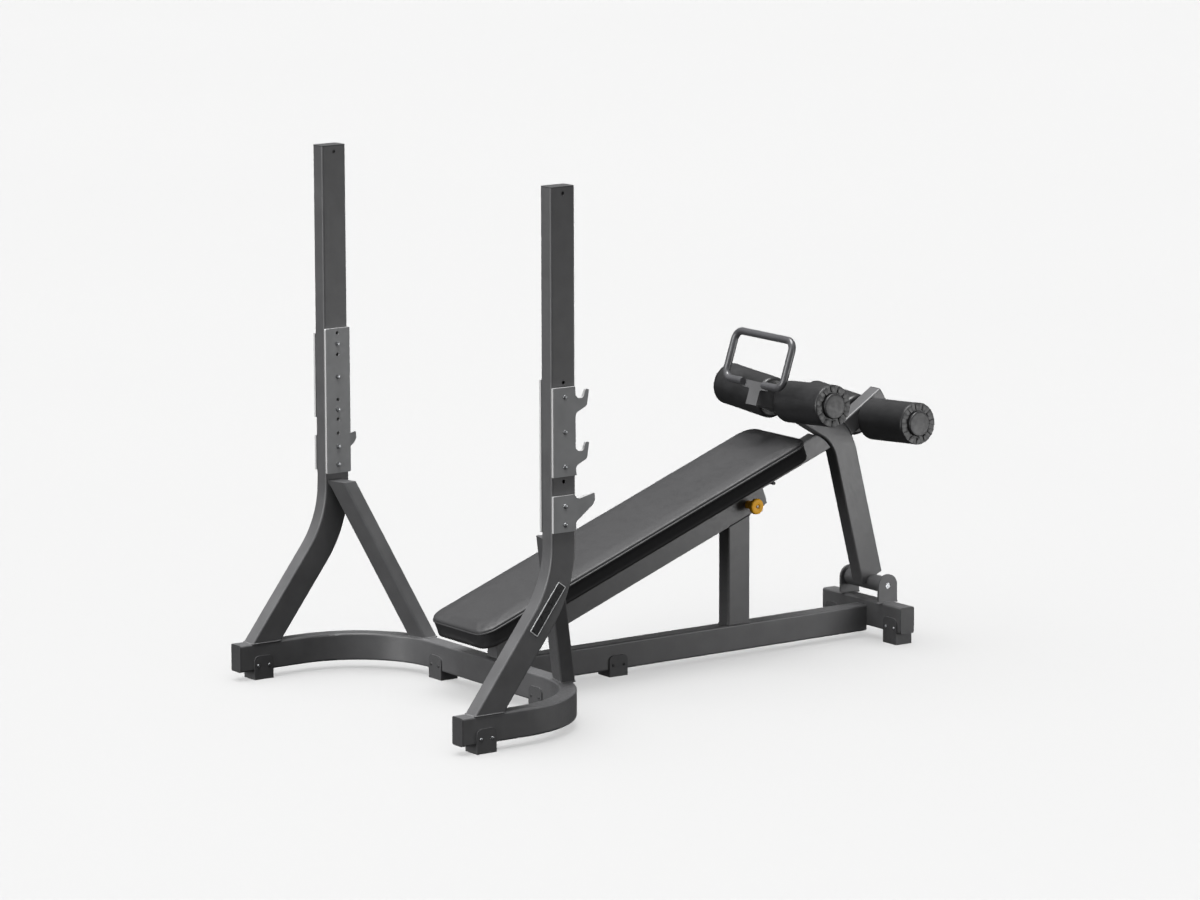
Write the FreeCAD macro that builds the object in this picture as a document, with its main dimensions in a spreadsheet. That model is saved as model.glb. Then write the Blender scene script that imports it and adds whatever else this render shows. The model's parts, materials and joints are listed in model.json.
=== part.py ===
import FreeCAD, Part
import Sketcher
import math
import os

# A decline press bench: two forward-swept rack uprights on a U-shaped base, a sloping padded beam
# on a low rail, and a hinged leg support with two pairs of foam rollers. The leg support is set by
# a tube that slides in the sloping beam and locks with a spring pull pin.
#
# Millimetres. +Z is up and +Y points from the rack to the leg rollers. The bench is symmetric about
# X = 0. Shapes are drawn with Y = 0 at the front face of the uprights, then every sub-part is moved
# along Y so that the origin is the centre of the footprint, on the floor.

V = FreeCAD.Vector

SIZES = {
    # Steel tube stock
    "tube_width": 50,
    "tube_depth": 80,
    "tube_wall": 3,
    "tube_corner": 6,
    "cap_flange": 3,
    "cap_plug": 18,
    "fit_gap": 0.3,
    # Base frame
    "base_overall_width": 1200,
    "base_front_reach": 300,
    "base_bend_radius": 290,
    "base_rear_line": 208,
    "base_floor_gap": 26,
    "rail_floor_gap": 19,
    "rail_end": 1550,
    "rear_bar_length": 380,
    "rear_bar_floor_gap": 35,
    # Uprights and their braces
    "upright_height": 1540,
    "upright_bend_start": 550,
    "upright_bend_radius": 340,
    "upright_sweep": 37,
    "brace_width": 44,
    "brace_depth": 66,
    "brace_foot_side": 359,
    "brace_foot_back": 206,
    "brace_top_height": 560,
    "brace_twist": 35,
    # Rack plates
    "plate_thickness": 8,
    "bolt_diameter": 10,
    "bolt_head": 18,
    "bolt_head_height": 6,
    "inner_plate_bottom": 581,
    "inner_plate_top": 1007,
    "hook_plate_bottom": 741,
    "hook_plate_top": 988,
    "hook_pitch": 147,
    "safety_plate_bottom": 586,
    # Sloping beam
    "beam_angle": 20.62,
    "beam_line_height": 5.73,
    "beam_height": 112,
    "beam_end": 1257,
    "beam_wall": 2.5,
    "beam_corner": 20,
    "post_centre": 1072,
    # Slide and lock
    "slide_height": 60,
    "slide_clearance": 0.4,
    "slide_inner_end": 1085,
    "slide_end_gap": 6,
    "cross_pin_station": 1468,
    "slide_travel": 40,
    "stop_diameter": 10,
    "tongue_thickness": 10,
    "tongue_end": 1245,
    "tongue_length": 120,
    "lock_station": 1192,
    "lock_drop": 18.1,
    "plunger_diameter": 10,
    "housing_diameter": 24,
    "housing_length": 30,
    "knob_diameter": 47,
    "knob_thickness": 16,
    # Pad
    "pad_width": 300,
    "pad_start": 140,
    "pad_end": 1390,
    "pad_board_thickness": 12,
    "pad_height": 59,
    "pad_corner": 55,
    "pad_wrap": 8,
    # Leg support hinge
    "hinge_height": 165,
    "hinge_plate_spread": 192,
    "hinge_plate_width": 69,
    "barrel_diameter": 48,
    "pin_diameter": 18,
    "running_gap": 0.05,
    # Leg tube
    "leg_tilt": 14.5,
    "leg_depth": 80,
    "leg_bend_height": 605,
    "leg_bend_radius": 110,
    "leg_shoulder_slope": 31,
    "leg_shoulder_depth": 75,
    "leg_nose_break": 1246,
    "leg_nose_slope": 18,
    "leg_nose_depth": 70,
    "leg_nose_radius": 560,
    "leg_nose_reach": 1139,
    # Rear arm
    "arm_slope": 32,
    "arm_depth": 57,
    "arm_end_reach": 1596,
    "arm_end_height": 752,
    # Handle and its bracket
    "handle_tube": 22,
    "handle_width": 300,
    "handle_height": 166,
    "handle_corner": 40,
    "bracket_wing": 128,
    "bracket_wing_height": 22,
    "handle_end_lap": 14,
    # Rollers
    "roller_diameter": 124.4,
    "roller_side_gap": 8,
    "roller_outer_end": 254,
    "roller_tilt": 4,
    "roller_ring": 6,
    "hub_diameter": 75,
    "hub_rise": 8,
    "axle_diameter": 20,
    "front_axle_reach": 1243.7,
    "front_axle_height": 747.4,
    "rear_axle_reach": 1560,
    "rear_axle_height": 663,
    # Feet
    "foot_length": 64,
    "foot_flap": 4,
    "foot_flap_rise": 44,
    "front_foot_centre": -222,
    "corner_foot_inset": 30,
    "middle_foot_centre": 632,
    "rear_foot_side": 141,
    "screw_head": 9,
    # Blank plate on one upright
    "name_plate_length": 160,
    "name_plate_width": 30,
    "name_plate_height": 376,
}

doc = FreeCAD.newDocument("decline_bench")
sheet = doc.addObject("Spreadsheet::Sheet", "Sizes")
for row, (alias, value) in enumerate(SIZES.items(), 1):
    sheet.set(f"A{row}", alias)
    sheet.set(f"B{row}", str(value))
    sheet.setAlias(f"B{row}", alias)
doc.recompute()


def size(alias):
    """The sheet's value for one driving dimension."""
    return float(sheet.get(alias))


# Values that several sub-parts share, all worked out from the sheet.
TUBE_W = size("tube_width")
TUBE_D = size("tube_depth")
WALL = size("tube_wall")
PLATE = size("plate_thickness")
UPRIGHT_X = (size("base_overall_width") - TUBE_W) / 2
BASE_MID_Z = size("base_floor_gap") + TUBE_D / 2
BASE_TOP_Z = size("base_floor_gap") + TUBE_D
BASE_REAR_Y = size("base_rear_line") + TUBE_W / 2
RAIL_TOP_Z = size("rail_floor_gap") + TUBE_D
REAR_BAR_Y = size("rail_end") + TUBE_W / 2
REAR_BAR_TOP_Z = size("rear_bar_floor_gap") + TUBE_D
BEAM_ANGLE = math.radians(size("beam_angle"))
PIN_Y = REAR_BAR_Y
PIN_Z = size("hinge_height")
ALONG_Y = FreeCAD.Rotation(V(1, 0, 0), 90)
ALONG_X = FreeCAD.Rotation(V(1, 1, 1), 120)
UPRIGHTS = {"left": -1, "right": 1}

parts = {}


def beam_point(station, perp):
    """Y and Z of a point at a distance along the beam's underside and square to it."""
    y = station * math.cos(BEAM_ANGLE) - perp * math.sin(BEAM_ANGLE)
    z = size("beam_line_height") + station * math.sin(BEAM_ANGLE) + perp * math.cos(BEAM_ANGLE)
    return y, z


def beam_placement(x, station, perp):
    """A placement whose Y runs up the beam and whose Z is square to it."""
    return FreeCAD.Placement(V(x, *beam_point(station, perp)), FreeCAD.Rotation(V(1, 0, 0), size("beam_angle")))


def crossing(point_a, slope_a, point_b, slope_b):
    """Where two lines meet, each given by a point and its angle in degrees."""
    ax, ay = math.cos(math.radians(slope_a)), math.sin(math.radians(slope_a))
    bx, by = math.cos(math.radians(slope_b)), math.sin(math.radians(slope_b))
    dx, dy = point_b[0] - point_a[0], point_b[1] - point_a[1]
    k = (dx * by - dy * bx) / (ax * by - ay * bx)
    return point_a[0] + k * ax, point_a[1] + k * ay


def offset(point, slope, distance):
    """A point moved square to a direction, to its left."""
    a = math.radians(slope)
    return point[0] - distance * math.sin(a), point[1] + distance * math.cos(a)


def slid(point, slope, distance):
    """A point moved along a direction."""
    a = math.radians(slope)
    return point[0] + distance * math.cos(a), point[1] + distance * math.sin(a)


def rounded_edges(points, closed):
    """Lines and tangent arcs through (x, y, radius) points; a radius of 0 is a sharp corner."""
    count = len(points)
    starts, ends, arcs = {}, {}, []
    for i, (x, y, radius) in enumerate(points):
        here = V(x, y, 0)
        starts[i] = ends[i] = here
        if radius == 0 or (not closed and i in (0, count - 1)):
            continue
        before = V(*points[i - 1][:2], 0) - here
        after = V(*points[(i + 1) % count][:2], 0) - here
        before.normalize()
        after.normalize()
        half = before.getAngle(after) / 2
        reach = radius / math.tan(half)
        middle = before + after
        middle.normalize()
        ends[i] = here + before * reach
        starts[i] = here + after * reach
        arcs.append((i, Part.Arc(ends[i], here + middle * (radius / math.sin(half) - radius), starts[i])))
    edges = []
    arcs = dict(arcs)
    for i in range(count if closed else count - 1):
        following = (i + 1) % count
        if (starts[i] - ends[following]).Length > 1e-6:
            edges.append(Part.LineSegment(starts[i], ends[following]))
        if following in arcs and (closed or following < count - 1):
            edges.append(arcs[following])
    return edges


def inset_outline(points, distance):
    """The outline that lies a distance inside a closed one, with its radii adjusted."""
    count = len(points)
    area = sum(points[i - 1][0] * points[i][1] - points[i][0] * points[i - 1][1] for i in range(count))
    inward = distance if area > 0 else -distance
    result = []
    for i, (x, y, radius) in enumerate(points):
        before, after = points[i - 1], points[(i + 1) % count]
        arriving = math.degrees(math.atan2(y - before[1], x - before[0]))
        leaving = math.degrees(math.atan2(after[1] - y, after[0] - x))
        corner = crossing(offset((x, y), arriving, inward), arriving, offset((x, y), leaving, inward), leaving)
        turn = (leaving - arriving + 180) % 360 - 180
        convex = turn * area > 0
        new_radius = max(radius - distance, 0) if convex else radius + distance
        result.append((*corner, new_radius if radius else 0))
    return result


def sketch_on(body, name, role, shift=V(0, 0, 0)):
    """A sketch on one of the body's own origin planes."""
    plane = next(item for item in body.Origin.OriginFeatures if item.Role == role)
    sketch = body.newObject("Sketcher::SketchObject", name)
    sketch.AttachmentSupport = [(plane, "")]
    sketch.MapMode = "FlatFace"
    sketch.AttachmentOffset = FreeCAD.Placement(shift, FreeCAD.Rotation())
    return sketch


def new_body(name):
    return doc.addObject("PartDesign::Body", "Body_" + name)


def constrained_rectangle(sketch, width, height, radius, shrink):
    """A centred rectangle with round corners, its sizes bound to the sheet's cells."""
    inset = size(shrink) if shrink else 0
    half_w, half_h = size(width) / 2 - inset, size(height) / 2 - inset
    round_r = max(size(radius) - inset, 1)
    corners = [(half_w, -half_h), (half_w, half_h), (-half_w, half_h), (-half_w, -half_h)]
    first = sketch.GeometryCount
    for edge in rounded_edges([(x, y, round_r) for x, y in corners], True):
        sketch.addGeometry(edge)
    for i in range(8):
        sketch.addConstraint(Sketcher.Constraint("Tangent", first + i, 2, first + (i + 1) % 8, 1))
    for i in range(4):
        sketch.addConstraint(Sketcher.Constraint("Vertical" if i % 2 == 0 else "Horizontal", first + 2 * i))
    for i in range(1, 4):
        sketch.addConstraint(Sketcher.Constraint("Equal", first + 1, first + 2 * i + 1))
    less = f" - 2 * Sizes.{shrink}" if shrink else ""
    bound = [
        (("Radius", first + 1, round_r), f"max(Sizes.{radius}{less.replace('2 * ', '')}; 1)"),
        (("DistanceX", first + 4, 1, first, 1, 2 * half_w), f"Sizes.{width}{less}"),
        (("DistanceY", first + 6, 1, first + 2, 1, 2 * half_h), f"Sizes.{height}{less}"),
        (("DistanceX", -1, 1, first, 1, half_w), f"(Sizes.{width}{less}) / 2"),
        (("DistanceY", -1, 1, first + 2, 1, half_h), f"(Sizes.{height}{less}) / 2"),
    ]
    for constraint, formula in bound:
        index = sketch.addConstraint(Sketcher.Constraint(*constraint))
        sketch.setExpression(f"Constraints[{index}]", formula)


def profile_sketch(body, role, shift, width, height, wall):
    """A tube's section: an outer and, for a hollow tube, an inner rounded rectangle."""
    sketch = sketch_on(body, body.Name + "_Profile", role, shift)
    constrained_rectangle(sketch, width, height, "tube_corner", None)
    if wall:
        constrained_rectangle(sketch, width, height, "tube_corner", wall)
    return sketch


def straight_tube(name, width, height, length, wall="tube_wall"):
    """A tube along local +Z whose length is a formula in the sheet's names."""
    body = new_body(name)
    pad = body.newObject("PartDesign::Pad", body.Name + "_Pad")
    pad.Profile = profile_sketch(body, "XY_Plane", V(0, 0, 0), width, height, wall)
    pad.setExpression("Length", length)
    return body


def swept_tube(name, path_role, path_points, profile_role, profile_shift, width="tube_width", height="tube_depth"):
    """A hollow tube swept along a path of straight runs and bends."""
    body = new_body(name)
    path = sketch_on(body, body.Name + "_Path", path_role)
    for edge in rounded_edges(path_points, False):
        path.addGeometry(edge)
    pipe = body.newObject("PartDesign::AdditivePipe", body.Name + "_Pipe")
    pipe.Profile = profile_sketch(body, profile_role, profile_shift, width, height, "tube_wall")
    pipe.Spine = (path, [f"Edge{i + 1}" for i in range(path.GeometryCount)])
    return body


def outline_plate(name, points, thickness, holes=(), role="XY_Plane", midplane=False):
    """A flat outline with round holes (x, y, diameter), as thick as a formula says."""
    body = new_body(name)
    sketch = sketch_on(body, body.Name + "_Outline", role)
    for edge in rounded_edges(points, True):
        sketch.addGeometry(edge)
    for x, y, diameter in holes:
        sketch.addGeometry(Part.Circle(V(x, y, 0), V(0, 0, 1), diameter / 2))
    pad = body.newObject("PartDesign::Pad", body.Name + "_Pad")
    pad.Profile = sketch
    pad.Midplane = midplane
    pad.setExpression("Length", thickness)
    return body


def box(name, length, width, height, placement):
    """A block whose three sides are formulas in the sheet's names."""
    block = doc.addObject("Part::Box", "Box_" + name)
    block.setExpression("Length", length)
    block.setExpression("Width", width)
    block.setExpression("Height", height)
    block.Placement = placement
    return block


def cylinder(name, diameter, height, start, direction):
    """A round bar from a start point along a direction; both sizes are formulas."""
    bar = doc.addObject("Part::Cylinder", "Bar_" + name)
    bar.setExpression("Radius", f"({diameter}) / 2")
    bar.setExpression("Height", height)
    bar.Placement = FreeCAD.Placement(start, FreeCAD.Rotation(V(0, 0, 1), direction))
    return bar


def joined(name, pieces, kind="Part::MultiFuse"):
    """Several objects fused, or kept as separate solids in one Part::Compound."""
    whole = doc.addObject(kind, "Joined_" + name)
    if kind == "Part::Compound":
        whole.Links = pieces
    else:
        whole.Shapes = pieces
    return whole


def cut(name, base, tools):
    """The base with the tools taken away."""
    result = doc.addObject("Part::Cut", "Cut_" + name)
    result.Base = base
    result.Tool = tools[0] if len(tools) == 1 else joined(name + "_tools", tools, "Part::Compound")
    return result


def kept(name, base, region):
    """The share of the base that lies in the region."""
    result = doc.addObject("Part::Common", "Kept_" + name)
    result.Base = base
    result.Tool = region
    return result


def node(name, piece):
    """Names a finished sub-part; its file has the same name."""
    piece.Label = name
    parts[name] = piece


def at(x, y, z, rotation=None):
    """A placement from a point and an optional rotation."""
    return FreeCAD.Placement(V(x, y, z), rotation or FreeCAD.Rotation())


def end_cap(name, point, rotation, depth="tube_depth"):
    """A plastic end cap: a flange outside the tube and a plug that fits inside it."""
    body = new_body(name)
    flange = body.newObject("PartDesign::Pad", body.Name + "_Flange")
    flange.Profile = profile_sketch(body, "XY_Plane", V(0, 0, 0), "tube_width", depth, None)
    flange.setExpression("Length", "Sizes.cap_flange")
    half_w = TUBE_W / 2 - WALL - size("fit_gap")
    half_d = size(depth) / 2 - WALL - size("fit_gap")
    plug_sketch = sketch_on(body, body.Name + "_PlugSection", "XY_Plane")
    corners = [(half_w, -half_d), (half_w, half_d), (-half_w, half_d), (-half_w, -half_d)]
    for edge in rounded_edges([(x, y, size("tube_corner") - WALL) for x, y in corners], True):
        plug_sketch.addGeometry(edge)
    plug = body.newObject("PartDesign::Pad", body.Name + "_Plug")
    plug.Profile = plug_sketch
    plug.Reversed = True
    plug.setExpression("Length", "Sizes.cap_plug")
    body.Placement = FreeCAD.Placement(point, rotation)
    return body


# ---- Base frame ---------------------------------------------------------------------------------

def make_base():
    """The U-shaped front base, the low centre rail and the rear crossbar."""
    tube_front = size("cap_flange") - size("base_front_reach")
    rear = size("base_rear_line")
    bend = size("base_bend_radius")
    path = [(-UPRIGHT_X, tube_front, 0), (-UPRIGHT_X, rear, bend), (UPRIGHT_X, rear, bend), (UPRIGHT_X, tube_front, 0)]
    base = swept_tube("base_u_tube", "XY_Plane", path, "XZ_Plane", V(-UPRIGHT_X, 0, -tube_front))
    base.Placement = at(0, 0, BASE_MID_Z)
    node("base_u_tube", base)
    caps = [end_cap(f"base_{side}_cap", V(sign * UPRIGHT_X, tube_front, BASE_MID_Z), ALONG_Y)
            for side, sign in UPRIGHTS.items()]
    node("base_end_caps", joined("base_end_caps", caps, "Part::Compound"))

    rail = straight_tube("base_rail", "tube_width", "tube_depth",
                         "Sizes.rail_end - Sizes.base_rear_line - Sizes.tube_width / 2")
    rail.Placement = at(0, size("rail_end"), size("rail_floor_gap") + TUBE_D / 2, ALONG_Y)
    node("base_rail", rail)

    bar = straight_tube("rear_crossbar", "tube_width", "tube_depth",
                        "Sizes.rear_bar_length - 2 * Sizes.cap_flange")
    half = size("rear_bar_length") / 2 - size("cap_flange")
    bar_z = size("rear_bar_floor_gap") + TUBE_D / 2
    bar.Placement = at(-half, REAR_BAR_Y, bar_z, ALONG_X)
    node("rear_crossbar", bar)
    away = FreeCAD.Rotation(V(0, 0, 1), 180).multiply(ALONG_X)
    caps = [end_cap("rear_right_cap", V(half, REAR_BAR_Y, bar_z), ALONG_X),
            end_cap("rear_left_cap", V(-half, REAR_BAR_Y, bar_z), away)]
    node("rear_end_caps", joined("rear_end_caps", caps, "Part::Compound"))


# ---- Uprights, braces and rack plates -----------------------------------------------------------

def bolt_heights():
    """Bolt heights on an upright: three through the hook plate and two through the safety plate."""
    middle = (size("hook_plate_bottom") + size("hook_plate_top")) / 2
    reach = (size("hook_plate_top") - size("hook_plate_bottom")) / 2 - 26.5
    lower = size("safety_plate_bottom") + 20
    return [middle + reach, middle, middle - reach, lower + 52, lower]


def upright_path():
    """The upright's centre line in side view, from its top down to below the base tube's top."""
    bend_y = TUBE_D / 2
    sweep = math.radians(size("upright_sweep"))
    turn_z = size("upright_bend_start") - size("upright_bend_radius") * math.tan(sweep / 2)
    drop = turn_z - BASE_MID_Z
    foot = (bend_y - drop * math.tan(sweep), BASE_MID_Z, 0)
    top = (bend_y, size("upright_height") - size("cap_flange"), 0)
    return [top, (bend_y, turn_z, size("upright_bend_radius")), foot]


def make_uprights():
    """Two swept uprights, cut flat where they stand on the base, drilled for the rack bolts."""
    mid_y = TUBE_D / 2
    extra_holes = [size("hook_plate_top") + 13, size("hook_plate_bottom") - 14.6, size("upright_height") - 19]
    tube_top = size("upright_height") - size("cap_flange")
    caps = []
    for side, sign in UPRIGHTS.items():
        name = "upright_" + side
        tube = swept_tube(name, "YZ_Plane", upright_path(), "XY_Plane", V(0, mid_y, tube_top))
        tube.Placement = at(sign * UPRIGHT_X, 0, 0)
        floor_block = box(name + "_foot_cut", "2 * Sizes.tube_width", "1000", "Sizes.base_floor_gap + Sizes.tube_depth",
                          at(sign * UPRIGHT_X - TUBE_W, -700, 0))
        tools = [floor_block]
        for i, height in enumerate(bolt_heights() + extra_holes):
            start = V(sign * UPRIGHT_X - TUBE_W, mid_y, height)
            tools.append(cylinder(f"{name}_hole_{i}", "Sizes.bolt_diameter + 2 * Sizes.fit_gap",
                                  "2 * Sizes.tube_width", start, V(1, 0, 0)))
        node(name, cut(name, tube, tools))
        caps.append(end_cap(name + "_cap", V(sign * UPRIGHT_X, mid_y, tube_top), FreeCAD.Rotation()))
    node("upright_caps", joined("upright_caps", caps, "Part::Compound"))


def make_braces():
    """A slanting tube from the base's bend up to each upright's inner face, closed at the top."""
    rise = size("brace_top_height") - BASE_TOP_Z
    foot = V(size("brace_foot_side"), size("brace_foot_back"), BASE_TOP_Z)
    top = V(UPRIGHT_X - TUBE_W / 2 - 26, TUBE_D / 2 - 2, size("brace_top_height"))
    down = foot - top
    down.normalize()
    for side, sign in UPRIGHTS.items():
        axis = V(sign * down.x, down.y, down.z)
        across = axis.cross(V(0, 0, 1))
        across.normalize()
        other = axis.cross(across)
        twist = -sign * math.radians(size("brace_twist"))
        narrow = across * math.cos(twist) + other * math.sin(twist)
        turn = FreeCAD.Rotation(narrow, V(0, 0, 0), axis, "ZXY")
        start = V(sign * top.x, top.y, top.z) - axis * rise * 0.2
        shells = []
        for layer, inset, wall in (("outer", 0, None), ("inner", WALL, "tube_wall")):
            body = new_body(f"brace_{side}_{layer}")
            sketch = sketch_on(body, body.Name + "_Section", "XY_Plane")
            constrained_rectangle(sketch, "brace_width", "brace_depth", "tube_corner", wall)
            pad = body.newObject("PartDesign::Pad", body.Name + "_Pad")
            pad.Profile = sketch
            pad.setExpression("Length", "1.6 * (Sizes.brace_top_height - Sizes.base_floor_gap)")
            body.Placement = FreeCAD.Placement(start, turn)
            reach = UPRIGHT_X - TUBE_W / 2 - inset
            region = box(f"brace_{side}_{layer}_room", "Sizes.base_overall_width / 2 - Sizes.tube_width"
                         + (" - Sizes.tube_wall" if inset else ""), "800",
                         "Sizes.brace_top_height - Sizes.base_floor_gap - Sizes.tube_depth"
                         + (" - Sizes.tube_wall" if inset else ""),
                         at(0 if sign > 0 else -reach, -300, BASE_TOP_Z))
            shells.append(kept(f"brace_{side}_{layer}", body, region))
        node("brace_" + side, cut("brace_" + side, shells[0], shells[1:]))


def hook_outline(bottom, top, hooks):
    """Side view of an outer rack plate: a strip with forward lips that carry a bar."""
    points = [(0, bottom, 0), (TUBE_D - 2, bottom, 0)]
    for lip in hooks:
        points += lip
    points += [(TUBE_D - 6, top, 0), (0, top, 0)]
    return points


def bar_hook(base):
    """One bar hook: it leaves the strip at a height, dips and ends in a raised tip."""
    edge = TUBE_D - 5
    return [(edge, base - 50, 14), (edge + 38, base - 32, 12), (edge + 45, base + 13, 4),
            (edge + 34, base + 15, 4), (edge + 25, base - 9.5, 8), (edge + 9, base - 9, 8), (edge, base, 0)]


def make_rack_plates():
    """Inner guard plates, outer hook plates and the lower safety catches, with their bolts."""
    mid_y = TUBE_D / 2
    bolt = size("bolt_diameter") + 2 * size("fit_gap")
    bolts = bolt_heights()
    top, bottom = size("inner_plate_top"), size("inner_plate_bottom")
    spare = [top - 14, top - 77, (bolts[1] + bolts[2]) / 2 - 18.5, bolts[2] - 28, bolts[3] + 40]
    hook_top, hook_bottom = size("hook_plate_top"), size("hook_plate_bottom")
    hook_base = hook_top - 24.6
    hooks = [bar_hook(hook_base - size("hook_pitch")), bar_hook(hook_base)]
    safe = size("safety_plate_bottom")
    catch = [(TUBE_D - 4, safe + 25, 14), (TUBE_D + 52, safe + 67, 10), (TUBE_D + 59, safe + 80, 6),
             (TUBE_D + 58, safe + 101, 4), (TUBE_D - 5, safe + 86, 16), (TUBE_D - 8, safe + 102, 4), (0, safe + 102, 0)]
    for side, sign in UPRIGHTS.items():
        inner_x = sign * (UPRIGHT_X - TUBE_W / 2) - (PLATE if sign > 0 else 0)
        outer_x = sign * (UPRIGHT_X + TUBE_W / 2) - (0 if sign > 0 else PLATE)
        inner = outline_plate("inner_plate_" + side,
                              [(0, bottom, 3), (TUBE_D + 2, bottom, 3), (TUBE_D + 2, top, 3), (0, top, 3)],
                              "Sizes.plate_thickness", [(mid_y, z, bolt) for z in bolts + spare], "YZ_Plane")
        hook = outline_plate("hook_plate_" + side, hook_outline(hook_bottom, hook_top, hooks),
                             "Sizes.plate_thickness", [(mid_y, z, bolt) for z in bolts[:3]], "YZ_Plane")
        safety = outline_plate("safety_catch_" + side, [(0, safe, 0), (TUBE_D - 4, safe, 0)] + catch,
                               "Sizes.plate_thickness", [(mid_y, z, bolt) for z in bolts[3:]], "YZ_Plane")
        for piece, x in ((inner, inner_x), (hook, outer_x), (safety, outer_x)):
            piece.Placement = at(x, 0, 0)
        node("inner_plate_" + side, inner)
        node("hook_plate_" + side, hook)
        node("safety_catch_" + side, safety)
    fasteners = []
    for side, sign in UPRIGHTS.items():
        for i, height in enumerate(bolts):
            fasteners.append(through_bolt(f"{side}_{i}", sign, height))
    node("plate_bolts", joined("plate_bolts", fasteners, "Part::Compound"))


def through_bolt(name, sign, height):
    """A bolt through a rack plate, the upright and the inner plate, with a head at each end."""
    outward = V(sign, 0, 0)
    mid_y = TUBE_D / 2
    outer = V(sign * (UPRIGHT_X + TUBE_W / 2 + PLATE), mid_y, height)
    inner = V(sign * (UPRIGHT_X - TUBE_W / 2 - PLATE), mid_y, height)
    head = cylinder(f"bolt_head_{name}", "Sizes.bolt_head", "Sizes.bolt_head_height", outer, outward)
    nut = cylinder(f"bolt_nut_{name}", "Sizes.bolt_head", "Sizes.bolt_head_height", inner, outward * -1)
    shank = cylinder(f"bolt_shank_{name}", "Sizes.bolt_diameter",
                     "Sizes.tube_width + 2 * Sizes.plate_thickness", inner, outward)
    return joined("bolt_" + name, [head, shank, nut])


def make_name_plate():
    """A blank plate on the outside of the right upright, in line with its sweep."""
    height = size("name_plate_height")
    sweep = size("upright_sweep")
    plate = box("name_plate", "1", "Sizes.name_plate_width", "Sizes.name_plate_length", at(0, 0, 0))
    turn = FreeCAD.Rotation(V(1, 0, 0), -sweep)
    centre = V(UPRIGHT_X + TUBE_W / 2, -15, height)
    corner = turn.multVec(V(0, size("name_plate_width") / 2, size("name_plate_length") / 2))
    plate.Placement = FreeCAD.Placement(centre - corner, turn)
    node("name_plate", plate)


# ---- Sloping beam, post, slide and lock ---------------------------------------------------------

def beam_outline(end):
    """Side view of the sloping beam in its own frame, from its seat on the base to an end station."""
    slope = size("beam_angle")
    rest_y = BASE_REAR_Y - TUBE_W / 2
    high = size("beam_height")

    def local(y, z):
        dz = z - size("beam_line_height")
        return (y * math.cos(BEAM_ANGLE) + dz * math.sin(BEAM_ANGLE),
                -y * math.sin(BEAM_ANGLE) + dz * math.cos(BEAM_ANGLE))

    toe = crossing(local(0, RAIL_TOP_Z), -slope, (0, 0), 0)
    crown = crossing(local(rest_y, 0), 90 - slope, (0, high), 0)
    seat = [local(rest_y, BASE_TOP_Z), local(BASE_REAR_Y, BASE_TOP_Z), local(BASE_REAR_Y, RAIL_TOP_Z), toe]
    points = [(end, high), crown] + seat
    return [(*point, 0) for point in points] + [(end, 0, size("beam_corner"))]


def beam_body(name, points, width):
    """A side outline in the beam's frame, made as wide as a formula says."""
    body = outline_plate(name, points, width, role="YZ_Plane", midplane=True)
    body.Placement = beam_placement(0, 0, 0)
    return body


def make_beam():
    """The hollow sloping beam, the post below it, and the guide block in its open end."""
    outer = beam_body("beam_outer", beam_outline(size("beam_end")), "Sizes.tube_width")
    hollow = beam_body("beam_hollow", inset_outline(beam_outline(1.1 * size("beam_end")), size("beam_wall")),
                       "Sizes.tube_width - 2 * Sizes.beam_wall")
    lock_bore = cylinder("lock_bore", "Sizes.plunger_diameter + 2 * Sizes.fit_gap", "Sizes.tube_width",
                         V(0, *beam_point(size("lock_station"), lock_perp())), V(1, 0, 0))
    tools = [hollow, lock_bore]
    for i, station in enumerate(pad_bolt_stations()):
        start = V(0, *beam_point(station, -10))
        up = V(0, -math.sin(BEAM_ANGLE), math.cos(BEAM_ANGLE))
        tools.append(cylinder(f"beam_pad_hole_{i}", "Sizes.bolt_diameter + 2 * Sizes.fit_gap",
                              "Sizes.beam_height + 20", start, up))
    node("sloping_beam", cut("sloping_beam", outer, tools))

    post = straight_tube("post_tube", "tube_width", "tube_depth", "Sizes.post_centre")
    post.Placement = at(0, size("post_centre"), RAIL_TOP_Z)
    above = box("post_trim", "2 * Sizes.tube_width", "2 * Sizes.post_centre", "2 * Sizes.post_centre",
                beam_placement(-TUBE_W, 0, 0))
    node("post", cut("post", post, [above]))

    depth = 40
    clear = size("beam_wall") + size("fit_gap") / 3
    block = box("beam_guide_block", "Sizes.tube_width - 2 * Sizes.beam_wall - 2 * Sizes.fit_gap / 3", str(depth),
                "Sizes.beam_height - Sizes.slide_height - 2 * Sizes.beam_wall - 2 * Sizes.slide_clearance"
                " - Sizes.fit_gap / 3",
                beam_placement(-TUBE_W / 2 + clear, size("beam_end") - depth, clear))
    slot = box("beam_guide_slot", "Sizes.tongue_thickness + 2 * Sizes.slide_clearance", "2 * Sizes.slide_height",
               "Sizes.beam_height",
               beam_placement(-size("tongue_thickness") / 2 - size("slide_clearance"),
                              size("beam_end") - size("slide_height"), size("beam_wall") + 4 - size("slide_clearance")))
    node("beam_guide", cut("beam_guide", block, [slot]))


def slide_width():
    """Outside width of the slide tube, which runs inside the beam."""
    return TUBE_W - 2 * (size("beam_wall") + size("slide_clearance"))


def slide_floor():
    """Perpendicular distance from the beam's underside to the slide tube's underside."""
    return size("beam_height") - size("beam_wall") - size("slide_clearance") - size("slide_height")


def lock_perp():
    """Perpendicular distance from the beam's underside to the pull pin, below the slide tube."""
    return slide_floor() - size("lock_drop")


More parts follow.
